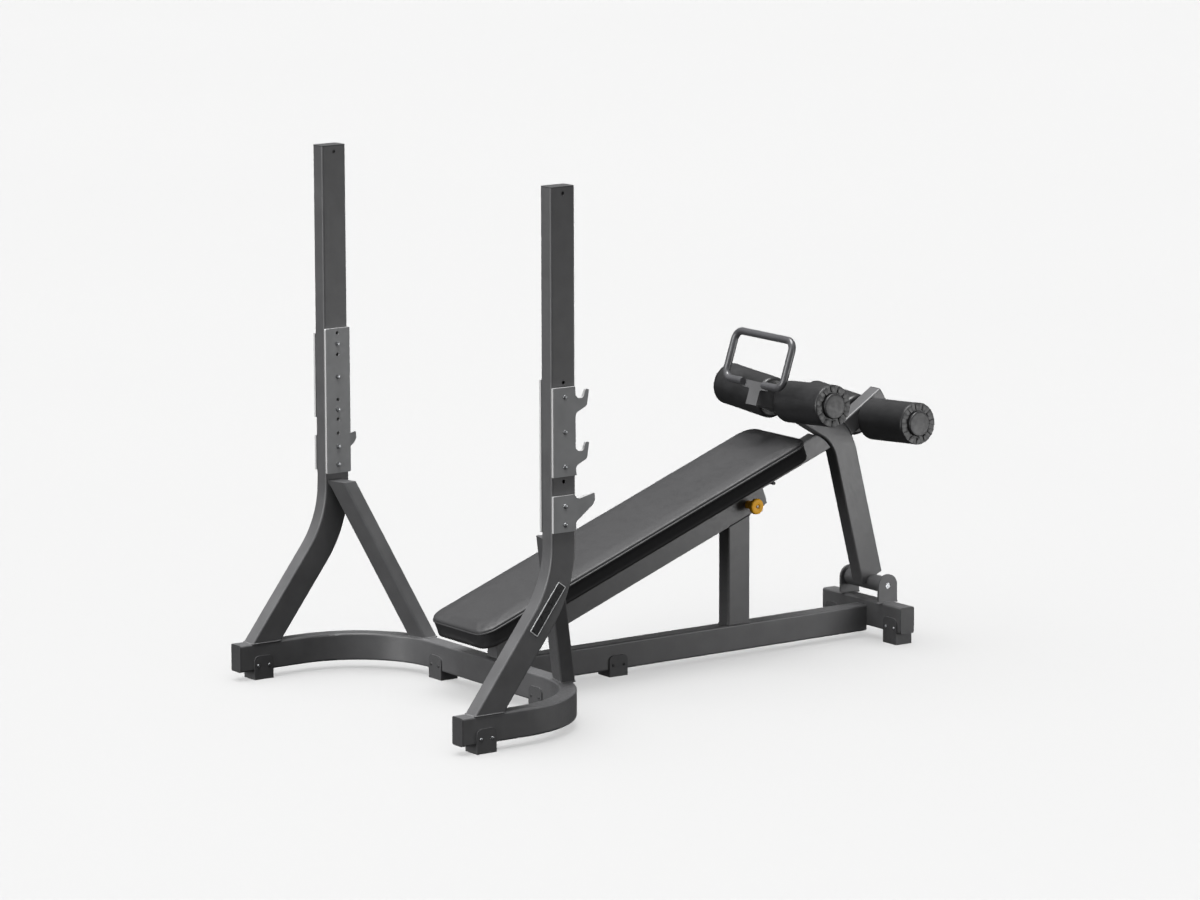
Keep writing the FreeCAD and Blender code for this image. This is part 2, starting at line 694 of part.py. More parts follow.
def slide_reach():
    """Station where the slide tube's underside would meet the leg's front face, run on straight."""
    face = offset((PIN_Y, PIN_Z), 90 + size("leg_tilt"), size("leg_depth") / 2)
    start = beam_point(0, slide_floor())
    point = crossing(face, 90 + size("leg_tilt"), start, size("beam_angle"))
    return (point[0] - start[0]) / math.cos(BEAM_ANGLE)


def make_slide():
    """The slide tube, its locking tongue, the rubber stop and the cross pin that meets the leg."""
    width, floor = slide_width(), slide_floor()
    inner_end, end = size("slide_inner_end"), slide_reach()
    half = width / 2
    shell = box("slide_shell", "Sizes.tube_width - 2 * (Sizes.beam_wall + Sizes.slide_clearance)",
                str(end - inner_end), "Sizes.slide_height", beam_placement(-half, inner_end, floor))
    wall = size("beam_wall")
    hollow = box("slide_hollow", "Sizes.tube_width - 4 * Sizes.beam_wall - 2 * Sizes.slide_clearance",
                 str(end - inner_end + 20), "Sizes.slide_height - 2 * Sizes.beam_wall",
                 beam_placement(wall - half, inner_end - 10, floor + wall))
    pin_point = cross_pin_point()
    pin_bore = cylinder("slide_pin_bore", "Sizes.plunger_diameter + 2", "2 * Sizes.tube_width",
                        V(-TUBE_W, *pin_point), V(1, 0, 0))
    rounded = doc.addObject("Part::Fillet", "Rounded_slide_shell")
    rounded.Base = shell
    doc.recompute()
    long_edges = [i for i, edge in enumerate(shell.Shape.Edges, 1) if edge.Length > end - inner_end - 1]
    rounded.Edges = [(i, 4, 4) for i in long_edges]
    leg_room = leg_prism("slide_leg_room", inset_outline(leg_outline(), -size("slide_end_gap")), "2 * Sizes.tube_width")
    node("slide_tube", cut("slide_tube", rounded, [hollow, pin_bore, leg_room]))

    node("slide_pin", cylinder("slide_pin_shank", "Sizes.plunger_diameter + 2", str(width), V(-half, *pin_point),
                               V(1, 0, 0)))

    stations = [size("lock_station") + k * size("slide_travel") for k in (-1, 0, 1)]
    tongue_half = size("tongue_thickness") / 2
    low = size("beam_wall") + 4
    tongue = box("tongue_bar", "Sizes.tongue_thickness", "Sizes.tongue_length", str(floor - low),
                 beam_placement(-tongue_half, size("tongue_end") - size("tongue_length"), low))
    holes = [cylinder(f"tongue_hole_{i}", "Sizes.plunger_diameter + 2 * Sizes.fit_gap", "2 * Sizes.tube_width",
                      V(-TUBE_W, *beam_point(station, lock_perp())), V(1, 0, 0))
             for i, station in enumerate(stations)]
    node("locking_tongue", cut("locking_tongue", tongue, holes))

    radius = size("stop_diameter") / 2
    stop_station = size("beam_end") + size("slide_travel") + radius + 1
    stop = cylinder("slide_stop", "Sizes.stop_diameter", "Sizes.tube_width - 10",
                    V(-TUBE_W / 2 + 5, *beam_point(stop_station, floor - radius)), V(1, 0, 0))
    node("slide_stop", stop)


def cross_pin_point():
    """Y and Z of the cross pin where the slide tube takes hold of the leg's lug."""
    return beam_point(size("cross_pin_station"), slide_floor() + size("slide_height") / 2)


def make_lock():
    """The pull pin's housing on the beam's side, and the knob with its plunger."""
    centre = V(0, *beam_point(size("lock_station"), lock_perp()))
    face = V(TUBE_W / 2, centre.y, centre.z)
    outside = cylinder("housing_outside", "Sizes.housing_diameter", "Sizes.housing_length", face, V(1, 0, 0))
    bore = cylinder("housing_bore", "Sizes.plunger_diameter + 2 * Sizes.running_gap", "2 * Sizes.housing_length",
                    face - V(5, 0, 0), V(1, 0, 0))
    node("pull_pin_housing", cut("pull_pin_housing", outside, [bore]))
    tip = size("tongue_thickness") / 2 + size("slide_clearance")
    reach = TUBE_W / 2 + size("housing_length") + 0.5
    plunger = cylinder("plunger", "Sizes.plunger_diameter", str(reach + 8 - tip), centre + V(tip, 0, 0), V(1, 0, 0))
    disc = cylinder("knob_disc", "Sizes.knob_diameter", "Sizes.knob_thickness", centre + V(reach, 0, 0), V(1, 0, 0))
    node("pull_knob", joined("pull_knob", [plunger, disc]))


# ---- Pad ----------------------------------------------------------------------------------------

def pad_bolt_stations():
    """Stations of the three bolts that hold the pad's board to the beam."""
    first = size("pad_start") + 230
    last = size("slide_inner_end") - size("slide_travel") - 60
    return [first, (first + last) / 2, last]


def make_pad():
    """A plywood board on the beam and the cushion that wraps it."""
    half = size("pad_width") / 2
    wrap = size("pad_wrap")
    start, end, corner = size("pad_start"), size("pad_end"), size("pad_corner")

    def plan(inset, radius):
        low, high, side = start + inset, end - inset, half - inset
        return [(side, low, radius), (side, high, radius), (-side, high, radius), (-side, low, radius)]

    bolt = size("bolt_diameter") + 2 * size("fit_gap")
    board = outline_plate("pad_board", plan(wrap + size("fit_gap"), corner - wrap), "Sizes.pad_board_thickness",
                          [(0, station, bolt) for station in pad_bolt_stations()])
    board.Placement = beam_placement(0, 0, size("beam_height"))
    node("pad_board", board)
    whole = outline_plate("cushion_whole", plan(0, corner), "Sizes.pad_height")
    recess = outline_plate("cushion_recess", plan(wrap, corner - wrap), "Sizes.pad_board_thickness + Sizes.fit_gap")
    for piece in (whole, recess):
        piece.Placement = beam_placement(0, 0, size("beam_height"))
    node("pad_cushion", cut("pad_cushion", whole, [recess]))

    up = V(0, -math.sin(BEAM_ANGLE), math.cos(BEAM_ANGLE))
    bolts = []
    for i, station in enumerate(pad_bolt_stations()):
        shank = cylinder(f"pad_bolt_{i}_shank", "Sizes.bolt_diameter",
                         "Sizes.beam_height + Sizes.pad_board_thickness - 1", V(0, *beam_point(station, 0)), up)
        head = cylinder(f"pad_bolt_{i}_head", "Sizes.bolt_head", "Sizes.bolt_head_height",
                        V(0, *beam_point(station, 0)), up * -1)
        bolts.append(joined(f"pad_bolt_{i}", [shank, head]))
    node("pad_bolts", joined("pad_bolts", bolts, "Part::Compound"))


# ---- Leg support --------------------------------------------------------------------------------

def leg_outline():
    """Side view of the leg tube: a leaning leg, a tight bend forward and a gently easing nose."""
    rise = 90 + size("leg_tilt")
    shoulder = 180 - size("leg_shoulder_slope")
    nose = 180 - size("leg_nose_slope")
    front = offset((PIN_Y, PIN_Z), rise, size("leg_depth") / 2)
    back = offset((PIN_Y, PIN_Z), rise, -size("leg_depth") / 2)
    bend = crossing(front, rise, (0, size("leg_bend_height")), 0)
    breaking = crossing(bend, shoulder, (size("leg_nose_break"), 0), 90)
    tip = crossing(breaking, nose, (size("leg_nose_reach"), 0), 90)
    tip_top = offset(tip, nose, -size("leg_nose_depth"))
    shoulder_top = offset(bend, shoulder, -size("leg_shoulder_depth"))
    breaking_top = crossing(tip_top, nose, shoulder_top, shoulder)
    bend_top = crossing(shoulder_top, shoulder, back, rise)
    tight, gentle = size("leg_bend_radius"), size("leg_nose_radius")
    return [(*slid(front, rise, 8), 0), (*bend, tight), (*breaking, gentle), (*tip, 0), (*tip_top, 0),
            (*breaking_top, gentle + size("leg_nose_depth")), (*bend_top, tight + size("leg_depth")),
            (*slid(back, rise, 22), 0)]


def leg_prism(name, points, width):
    """A side outline of the leg, made as wide as a formula says."""
    return outline_plate(name, points, width, role="YZ_Plane", midplane=True)


def softened(name, base, radius, keep_out):
    """Rounds the long edges along a bent tube's sides, but not those on its two ends."""
    doc.recompute()
    side = TUBE_W / 2
    chosen = []
    for i, edge in enumerate(base.Shape.Edges, 1):
        middle = edge.valueAt((edge.FirstParameter + edge.LastParameter) / 2)
        if abs(abs(middle.x) - side) < 0.01 and not any(near_line(middle, *line) for line in keep_out):
            chosen.append((i, radius, radius))
    rounded = doc.addObject("Part::Fillet", "Rounded_" + name)
    rounded.Base = base
    rounded.Edges = chosen
    return rounded


def near_line(point, first, second):
    """Whether a point lies between two side-view points."""
    start, end, here = V(0, *first[:2]), V(0, *second[:2]), V(0, point.y, point.z)
    return (here - start).Length + (here - end).Length < (end - start).Length + 0.01


def make_leg():
    """The leg tube, its hinge barrel and bushes, and the rear arm with its cap."""
    points = leg_outline()
    ends = [(points[3], points[4]), (points[7], points[0])]
    shell = softened("leg", leg_prism("leg_outer", points, "Sizes.tube_width"), size("tube_corner") - 1, ends)
    hollow = leg_prism("leg_hollow", inset_outline(points, WALL), "Sizes.tube_width - 2 * Sizes.tube_wall")
    barrel_half = size("hinge_plate_spread") / 2 - PLATE - 0.5
    barrel_length = "Sizes.hinge_plate_spread - 2 * Sizes.plate_thickness - 1"
    saddle = cylinder("leg_saddle", "Sizes.barrel_diameter", barrel_length, V(-barrel_half, PIN_Y, PIN_Z), V(1, 0, 0))
    node("leg_tube", cut("leg_tube", shell, [hollow, saddle]))

    outside = cylinder("barrel_outside", "Sizes.barrel_diameter", barrel_length,
                       V(-barrel_half, PIN_Y, PIN_Z), V(1, 0, 0))
    bush_outer = "Sizes.pin_diameter + 6"
    bore = cylinder("barrel_bore", bush_outer, "2 * Sizes.hinge_plate_spread",
                    V(-size("hinge_plate_spread"), PIN_Y, PIN_Z), V(1, 0, 0))
    node("leg_barrel", cut("leg_barrel", outside, [bore]))
    bushes = []
    for side, sign in UPRIGHTS.items():
        start = V(sign * barrel_half, PIN_Y, PIN_Z)
        body = cylinder(f"bush_{side}_outside", bush_outer, "20", start, V(-sign, 0, 0))
        hole = cylinder(f"bush_{side}_bore", "Sizes.pin_diameter + 2 * Sizes.running_gap", "60",
                        start + V(sign * 20, 0, 0), V(-sign, 0, 0))
        bushes.append(cut(f"bush_{side}", body, [hole]))
    node("hinge_bushes", joined("hinge_bushes", bushes, "Part::Compound"))

    slope = size("arm_slope")
    end_top = (size("arm_end_reach"), size("arm_end_height"))
    centre = slid(offset(end_top, slope, -size("arm_depth") / 2), slope, -size("cap_flange"))
    shoulder = 180 - size("leg_shoulder_slope")
    meeting = crossing(centre, slope, offset(points[2][:2], shoulder, -size("leg_shoulder_depth") / 2), shoulder)
    length = math.dist(centre, meeting)
    turn = FreeCAD.Rotation(V(1, 0, 0), slope - 90)
    arm = straight_tube("arm_tube", "tube_width", "arm_depth", str(length))
    arm.Placement = FreeCAD.Placement(V(0, *meeting), turn)
    leg_copy = leg_prism("leg_room", points, "2 * Sizes.tube_width")
    hub_room = cylinder("rear_hub_room", "Sizes.axle_diameter + 16", "2 * Sizes.tube_width",
                        V(-TUBE_W, size("rear_axle_reach"), size("rear_axle_height")), V(1, 0, 0))
    node("rear_arm", cut("rear_arm", arm, [leg_copy, hub_room]))
    node("rear_arm_cap", end_cap("rear_arm_cap", V(0, *centre), turn, "arm_depth"))


def make_lug():
    """The lug on the leg's front face that reaches into the slide tube, slotted for the cross pin."""
    pin_y, pin_z = cross_pin_point()
    thick, tall = 14, 36
    slot_height = 2 * (size("plunger_diameter") / 2 + 1) + 14
    slot_width = size("plunger_diameter") + 3.4
    station = size("cross_pin_station")
    perp = slide_floor() + size("slide_height") / 2
    tip = station - slot_width / 2 - 6
    bar = box("lug_bar", str(thick), str(slide_reach() - tip), str(tall), beam_placement(-thick / 2, tip, perp - tall / 2))
    slot = box("lug_slot", str(2 * thick), str(slot_width), str(slot_height),
               beam_placement(-thick, station - slot_width / 2, perp - slot_height / 2))
    leg_copy = leg_prism("lug_leg_room", leg_outline(), "Sizes.tube_width")
    node("leg_lug", cut("leg_lug", bar, [slot, leg_copy]))


def nose_placement(x, forward, up):
    """A placement on the nose's end face: local -Y points out of the face and Z up along it."""
    tip = leg_outline()[3]
    lean = size("leg_nose_slope")
    turn = FreeCAD.Rotation(V(1, 0, 0), -lean)
    return FreeCAD.Placement(V(x, *tip[:2]) + turn.multVec(V(0, -forward, up)), turn)


def make_handle():
    """The T-shaped bracket on the nose and the round-tube handle, whose ends are welded to its wings."""
    wing, height = size("bracket_wing") / 2, size("leg_nose_depth")
    stem, under = TUBE_W / 2, height - size("bracket_wing_height")
    outline = [(-stem, 0, 0), (stem, 0, 0), (stem, under, 8), (wing, under, 5), (wing, height, 5),
               (-wing, height, 5), (-wing, under, 5), (-stem, under, 8)]
    bracket = outline_plate("front_bracket", outline, "Sizes.plate_thickness", role="XZ_Plane")
    bracket.Placement = nose_placement(0, 0, 0)
    node("front_bracket", bracket)

    tube = size("handle_tube")
    half_w = (size("handle_width") - tube) / 2
    tall = size("handle_height") - tube
    corner = size("handle_corner") - tube / 2
    body = new_body("handle_loop")
    path = sketch_on(body, "handle_loop_Path", "XZ_Plane")
    lap = wing - size("handle_end_lap")
    loop = [(lap, 0, 0), (half_w, 0, corner), (half_w, tall, corner), (-half_w, tall, corner), (-half_w, 0, corner),
            (-lap, 0, 0)]
    for edge in rounded_edges(loop, False):
        path.addGeometry(edge)
    section = sketch_on(body, "handle_loop_Section", "YZ_Plane", V(0, 0, lap))
    section.addGeometry(Part.Circle(V(0, 0, 0), V(0, 0, 1), tube / 2))
    section.setExpression(f"Constraints[{section.addConstraint(Sketcher.Constraint('Radius', 0, tube / 2))}]",
                          "Sizes.handle_tube / 2")
    pipe = body.newObject("PartDesign::AdditivePipe", "handle_loop_Pipe")
    pipe.Profile = section
    pipe.Spine = (path, [f"Edge{i + 1}" for i in range(path.GeometryCount)])
    body.Placement = nose_placement(0, PLATE + tube / 2, height - tube / 2 + 3.5)
    node("handle_loop", body)


# ---- Rollers ------------------------------------------------------------------------------------

def axle_line(reach, height, sign):
    """The middle point and the outward direction of one side of a pair of tilted axles."""
    tilt = math.radians(size("roller_tilt"))
    return V(0, size(reach), size(height)), V(sign * math.cos(tilt), 0, math.sin(tilt))


def make_axles():
    """The front pair of axle rods on the leg's sides, and the rear pair on a cross hub."""
    length = "Sizes.roller_outer_end - 2"
    rods = []
    for side, sign in UPRIGHTS.items():
        middle, out = axle_line("front_axle_reach", "front_axle_height", sign)
        rod = cylinder(f"front_rod_{side}", "Sizes.axle_diameter", length, middle, out)
        inside = box(f"front_rod_{side}_room", "Sizes.tube_width", "100", "100",
                     at(-TUBE_W / 2, middle.y - 50, middle.z - 50))
        rods.append(cut(f"front_rod_{side}", rod, [inside]))
    node("front_axles", joined("front_axles", rods, "Part::Compound"))
    middle, _ = axle_line("rear_axle_reach", "rear_axle_height", 1)
    hub = cylinder("rear_hub", "Sizes.axle_diameter + 16", "Sizes.tube_width + 10",
                   middle - V(TUBE_W / 2 + 5, 0, 0), V(1, 0, 0))
    rods = [cylinder(f"rear_rod_{side}", "Sizes.axle_diameter", length, *axle_line("rear_axle_reach",
            "rear_axle_height", sign)) for side, sign in UPRIGHTS.items()]
    node("rear_axle", joined("rear_axle", [hub] + rods))


def make_rollers():
    """Four foam rollers, each with a flanged cap at both ends and a domed hub outside."""
    ring = size("roller_ring")
    start, end = TUBE_W / 2 + size("roller_side_gap"), size("roller_outer_end")
    bore = "Sizes.axle_diameter + 2 * Sizes.running_gap"
    for row in ("front", "rear"):
        for side, sign in UPRIGHTS.items():
            name = f"{row}_{side}"
            middle, out = axle_line(row + "_axle_reach", row + "_axle_height", sign)
            foam = cylinder(name + "_foam", "Sizes.roller_diameter - 1",
                            "Sizes.roller_outer_end - Sizes.tube_width / 2 - Sizes.roller_side_gap - 2 * Sizes.roller_ring",
                            middle + out * (start + ring), out)
            hole = cylinder(name + "_foam_bore", bore, "2 * Sizes.roller_outer_end", middle, out)
            node(f"{name}_roller_foam", cut(name + "_foam", foam, [hole]))
            outer = cylinder(name + "_ring", "Sizes.roller_diameter", "Sizes.roller_ring", middle + out * (end - ring), out)
            hub = cylinder(name + "_hub", "Sizes.hub_diameter", "Sizes.hub_rise", middle + out * end, out)
            blind = cylinder(name + "_blind_bore", bore, "Sizes.roller_outer_end - 1", middle, out)
            inner = cylinder(name + "_inner_ring", "Sizes.roller_diameter", "Sizes.roller_ring", middle + out * start, out)
            through = cylinder(name + "_through_bore", bore, "2 * Sizes.tube_width", middle, out)
            caps = [cut(name + "_outer_cap", joined(name + "_outer_solid", [outer, hub]), [blind]),
                    cut(name + "_inner_cap", inner, [through])]
            node(f"{name}_roller_caps", joined(name + "_caps", caps, "Part::Compound"))


# ---- Rear hinge ---------------------------------------------------------------------------------

def make_hinge():
    """Two upright plates on the rear crossbar and the pin that carries the leg's barrel."""
    half = size("hinge_plate_width") / 2
    foot = REAR_BAR_TOP_Z - PIN_Z
    outline = [(half, foot, 0), (half, half, half - 0.01), (-half, half, half - 0.01), (-half, foot, 0)]
    outer = size("hinge_plate_spread") / 2
    for side, sign in UPRIGHTS.items():
        plate = outline_plate("hinge_plate_" + side, outline, "Sizes.plate_thickness",
                              [(0, 0, size("pin_diameter"))], "YZ_Plane")
        plate.Placement = at(sign * outer - (PLATE if sign > 0 else 0), PIN_Y, PIN_Z)
        node("hinge_plate_" + side, plate)
    node("hinge_pin", cylinder("hinge_pin", "Sizes.pin_diameter", "Sizes.hinge_plate_spread - 2",
                               V(1 - outer, PIN_Y, PIN_Z), V(1, 0, 0)))


# ---- Feet ---------------------------------------------------------------------------------------

def make_foot(name, x, y, gap, along_x):
    """A rubber saddle foot under a tube, and the four screws in its two flaps."""
    half = size("foot_length") / 2
    turn = FreeCAD.Rotation(V(0, 0, 1), 90 if along_x else 0)
    place = at(x, y, 0, turn)
    top = size(gap) + size("foot_flap_rise")
    block = outline_plate(name, [(half, 0, 0), (half, top, 16), (-half, top, 16), (-half, 0, 0)],
                          "Sizes.tube_width + 2 * Sizes.foot_flap", role="YZ_Plane", midplane=True)
    block.Placement = place
    notch = box(name + "_notch", "Sizes.tube_width", "2 * Sizes.foot_length", "Sizes.tube_depth",
                place.multiply(at(-TUBE_W / 2, -2 * half, size(gap))))
    outside = TUBE_W / 2 + size("foot_flap")
    holes, screws = [], []
    for i, along in enumerate((-19, 19)):
        middle = V(0, along, size(gap) + 15)
        start = place.multVec(middle - V(2 * outside, 0, 0))
        out = turn.multVec(V(1, 0, 0))
        holes.append(cylinder(f"{name}_hole_{i}", "5", "4 * Sizes.tube_width", start, out))
        for sign in (-1, 1):
            face = place.multVec(middle + V(sign * outside, 0, 0))
            shank = cylinder(f"{name}_shank_{i}_{sign + 1}", "5", "Sizes.foot_flap", face, out * -sign)
            head = cylinder(f"{name}_head_{i}_{sign + 1}", "Sizes.screw_head", "3", face, out * sign)
            screws.append(joined(f"{name}_screw_{i}_{sign + 1}", [shank, head]))
    node(name, cut(name, block, [notch] + holes))
    return screws


def make_feet():
    """Seven feet: two in front, two under the base's rear line, one mid-rail and two at the back."""
    screws = []
    for side, sign in UPRIGHTS.items():
        front_y, rear_y = size("front_foot_centre"), size("base_rear_line")
        corner_side = UPRIGHT_X - size("base_bend_radius") - size("corner_foot_inset")
        screws += make_foot(f"front_foot_{side}", sign * UPRIGHT_X, front_y, "base_floor_gap", False)
        screws += make_foot(f"corner_foot_{side}", sign * corner_side, rear_y, "base_floor_gap", True)
        screws += make_foot(f"rear_foot_{side}", sign * size("rear_foot_side"), REAR_BAR_Y, "rear_bar_floor_gap", True)
    screws += make_foot("middle_foot", 0, size("middle_foot_centre"), "rail_floor_gap", False)
    node("foot_screws", joined("foot_screws", screws, "Part::Compound"))


# ---- Build, check and write ---------------------------------------------------------------------

make_base()
make_uprights()
make_braces()
make_rack_plates()
make_name_plate()
make_beam()
make_slide()
make_lock()
make_pad()
make_hinge()
make_leg()
make_lug()
make_handle()
make_axles()
make_rollers()
make_feet()

rear_corner = offset((size("arm_end_reach"), size("arm_end_height")), size("arm_slope"), -size("arm_depth"))
to_origin = V(0, (size("base_front_reach") - rear_corner[0]) / 2, 0)
for piece in parts.values():
    piece.Placement = FreeCAD.Placement(to_origin, FreeCAD.Rotation()).multiply(piece.Placement)
doc.recompute()

faults = [f"{item.Label}: {item.State}" for item in doc.Objects if {"Invalid", "Error"} & set(item.State)]
for name, piece in parts.items():
    if piece.Shape.isNull() or not piece.Shape.isValid() or not piece.Shape.Solids:
        faults.append(f"{name}: no valid solid")
if faults:
    raise RuntimeError("; ".join(faults))

os.makedirs("parts", exist_ok=True)
for name, piece in parts.items():
    piece.Shape.exportStep(f"parts/{name}.step")
print(f"{len(parts)} nodes written")
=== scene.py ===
"""Looks of a decline sit up bench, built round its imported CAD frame.

Two rack uprights stand on a bent base tube. A padded sloping beam leads from them to a hinged
leg support with two pairs of foam rollers. Everything is in metres in the frame's own axes:
+Z is up and +Y points from the rack to the rollers.
"""

from __future__ import annotations

import json
import logging
import math
from dataclasses import dataclass, field
from enum import Enum
from typing import Any, Iterable, Sequence

import bmesh
import bpy
from mathutils import Matrix, Quaternion, Vector, noise
from mathutils.bvhtree import BVHTree

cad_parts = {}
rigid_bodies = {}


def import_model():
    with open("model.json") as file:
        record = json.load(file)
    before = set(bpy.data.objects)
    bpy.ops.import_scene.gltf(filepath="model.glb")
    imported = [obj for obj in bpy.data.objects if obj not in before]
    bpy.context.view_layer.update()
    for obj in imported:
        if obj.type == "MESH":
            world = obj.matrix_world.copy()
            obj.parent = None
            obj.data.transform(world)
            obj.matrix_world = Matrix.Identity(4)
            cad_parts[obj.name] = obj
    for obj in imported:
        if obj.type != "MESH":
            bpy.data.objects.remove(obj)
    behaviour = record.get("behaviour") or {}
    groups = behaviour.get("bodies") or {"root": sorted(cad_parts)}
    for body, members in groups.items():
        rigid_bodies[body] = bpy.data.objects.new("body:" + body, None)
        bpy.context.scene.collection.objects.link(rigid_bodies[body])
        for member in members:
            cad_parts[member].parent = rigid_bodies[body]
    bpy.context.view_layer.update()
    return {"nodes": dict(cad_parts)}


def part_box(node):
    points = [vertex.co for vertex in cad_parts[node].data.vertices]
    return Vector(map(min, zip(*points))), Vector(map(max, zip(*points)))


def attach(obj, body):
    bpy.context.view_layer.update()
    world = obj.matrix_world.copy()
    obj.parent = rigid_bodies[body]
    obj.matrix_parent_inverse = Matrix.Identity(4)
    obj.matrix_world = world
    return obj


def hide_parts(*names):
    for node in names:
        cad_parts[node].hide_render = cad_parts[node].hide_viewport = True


LOG = logging.getLogger("bench")
MM = 0.001
SIDES = {"left": -1, "right": 1}
HINGE_REACH = 1575 * MM  # the leg hinge stands this far behind the uprights' front face
BEAM_SLOPE = math.radians(20.62)
BEAM_LINE_HEIGHT = 5.73 * MM  # height of the beam's underside line over the uprights' front face


# ---- Small tools --------------------------------------------------------------------------------


def linear(code: str) -> tuple[float, float, float, float]:
    """Turns a colour into what a shader reads.

    Args:
        code: The sRGB colour as "#rrggbb".

    Returns:
        The linear red, green and blue, and an alpha of 1.
    """
    shares = [int(code[i:i + 2], 16) / 255 for i in (1, 3, 5)]
    red, green, blue = [s / 12.92 if s <= 0.04045 else ((s + 0.055) / 1.055) ** 2.4 for s in shares]
    return red, green, blue, 1.0


def per(millimetres: float) -> float:
    """A noise scale whose features are about this many millimetres across."""
    return 1 / (millimetres * MM)


def add_node(
    tree: bpy.types.NodeTree, kind: str, inputs: dict[str | int, Any] | None = None, **settings: Any
) -> bpy.types.Node:
    """Adds a node, sets it and links it.

    Args:
        tree: The tree that gets the node.
        kind: The node's type name.
        inputs: Value or source socket for each input, by name or number.
        **settings: The node's own properties.

    Returns:
        The new node.
    """
    node = tree.nodes.new(kind)
    for key, value in settings.items():
        setattr(node, key, value)
    for key, value in (inputs or {}).items():
        for part in value if isinstance(value, list) else [value]:
            if isinstance(part, bpy.types.NodeSocket):
                tree.links.new(part, node.inputs[key])
            else:
                node.inputs[key].default_value = part
    return node


def linked(name: str, mesh: bpy.types.Mesh) -> bpy.types.Object:
    """Puts a mesh in the scene as an object at the origin."""
    obj = bpy.data.objects.new(name, mesh)
    bpy.context.scene.collection.objects.link(obj)
    return obj


def removed(obj: bpy.types.Object) -> None:
    """Takes an object and its mesh away."""
    mesh = obj.data
    bpy.data.objects.remove(obj)
    bpy.data.meshes.remove(mesh)


def mesh_from(
    name: str, points: Iterable[Sequence[float]], faces: Iterable[Sequence[int]], sharp: float = 35
) -> bpy.types.Mesh:
    """Makes a closed, outward-facing and smoothly shaded mesh.

    Args:
        name: The mesh's name.
        points: Vertex places in metres.
        faces: Vertex numbers of each face.
        sharp: Edges that turn by more than this many degrees stay crisp.

    Returns:
        The new mesh.
    """
    mesh = bpy.data.meshes.new(name)
    mesh.from_pydata([tuple(p) for p in points], [], list(faces))
    work = bmesh.new()
    work.from_mesh(mesh)
    bmesh.ops.remove_doubles(work, verts=work.verts, dist=1e-6)
    bmesh.ops.recalc_face_normals(work, faces=work.faces)
    work.to_mesh(mesh)
    work.free()
    mesh.polygons.foreach_set("use_smooth", [True] * len(mesh.polygons))
    mesh.set_sharp_from_angle(angle=math.radians(sharp))
    mesh.update()
    return mesh


def axis_matrix(origin: Vector, direction: Vector) -> Matrix:
    """A matrix that takes local +Z to a direction from an origin."""
    turn = direction.to_track_quat("Z", "Y").to_matrix().to_4x4()
    return Matrix.Translation(origin) @ turn


def ring_faces(count: int, rings: int, capped: bool = False) -> list[tuple[int, ...]]:
    """Faces that join a stack of rings.

    Args:
        count: Number of points in each ring.
        rings: Number of rings.
        capped: Whether the first and last ring are closed by a face.

    Returns:
        The vertex numbers of each face.
    """
    faces: list[tuple[int, ...]] = []
    for i in range(0, (rings - 1) * count, count):
        for k in range(count):
            after = (k + 1) % count
            faces.append((i + k, i + after, i + count + after, i + count + k))
    if capped:
        faces += [tuple(range(count)), tuple(range((rings - 1) * count, rings * count))]
    return faces


def spun(
    name: str, profile: Sequence[tuple[float, float]], place: Matrix, segments: int = 64, sharp: float = 35
) -> bpy.types.Mesh:
    """Turns a profile round an axis.

    Args:
        name: The mesh's name.
        profile: Radius and height pairs in millimetres; the first and last radius are 0.
        place: Takes the axis from local +Z to where it stands.
        segments: Number of steps round the axis.
        sharp: Edges that turn by more than this many degrees stay crisp.

    Returns:
        The closed mesh.
    """
    points = [place @ Vector((r * MM * math.cos(2 * math.pi * k / segments),
                              r * MM * math.sin(2 * math.pi * k / segments), h * MM))
              for r, h in profile for k in range(segments)]
    return mesh_from(name, points, ring_faces(segments, len(profile)), sharp)


def arc(
    centre: tuple[float, float], radius: float, start: float, end: float, steps: int = 6
) -> list[tuple[float, float]]:
    """Points along a round corner, angles in degrees."""
    turns = [math.radians(start + (end - start) * i / steps) for i in range(steps + 1)]
    return [(centre[0] + radius * math.cos(t), centre[1] + radius * math.sin(t)) for t in turns]


def rounded_outline(half_x: float, half_y: float, radius: float, steps: int) -> list[tuple[float, float]]:
    """A rectangle with round corners, centred on the origin.

    Args:
        half_x: Half its width.
        half_y: Half its length.
        radius: Its corner radius.
        steps: Number of steps round each corner.

    Returns:
        Its outline, anticlockwise.
    """
    corners = ((1, -1, -90), (1, 1, 0), (-1, 1, 90), (-1, -1, 180))
    return [p for sx, sy, turn in corners
            for p in arc((sx * (half_x - radius), sy * (half_y - radius)), radius, turn, turn + 90, steps)]


def resampled(points: Sequence[tuple[float, float]], step: float) -> list[tuple[float, float]]:
    """Divides a closed outline's long runs.

    Args:
        points: The outline's corners.
        step: About how long each step is.

    Returns:
        The same outline with more points.
    """
    result = []
    for i, (x, y) in enumerate(points):
        nx, ny = points[(i + 1) % len(points)]
        count = max(1, round(math.hypot(nx - x, ny - y) / step))
        result += [(x + (nx - x) * k / count, y + (ny - y) * k / count) for k in range(count)]
    return result


# ---- Finishes -----------------------------------------------------------------------------------


NOISE_SPAN = {"From Min": 0.3, "From Max": 0.7}  # most of what a noise pattern gives lies in here
Sockets = tuple[bpy.types.NodeSocket, bpy.types.NodeSocket, bpy.types.NodeSocket]


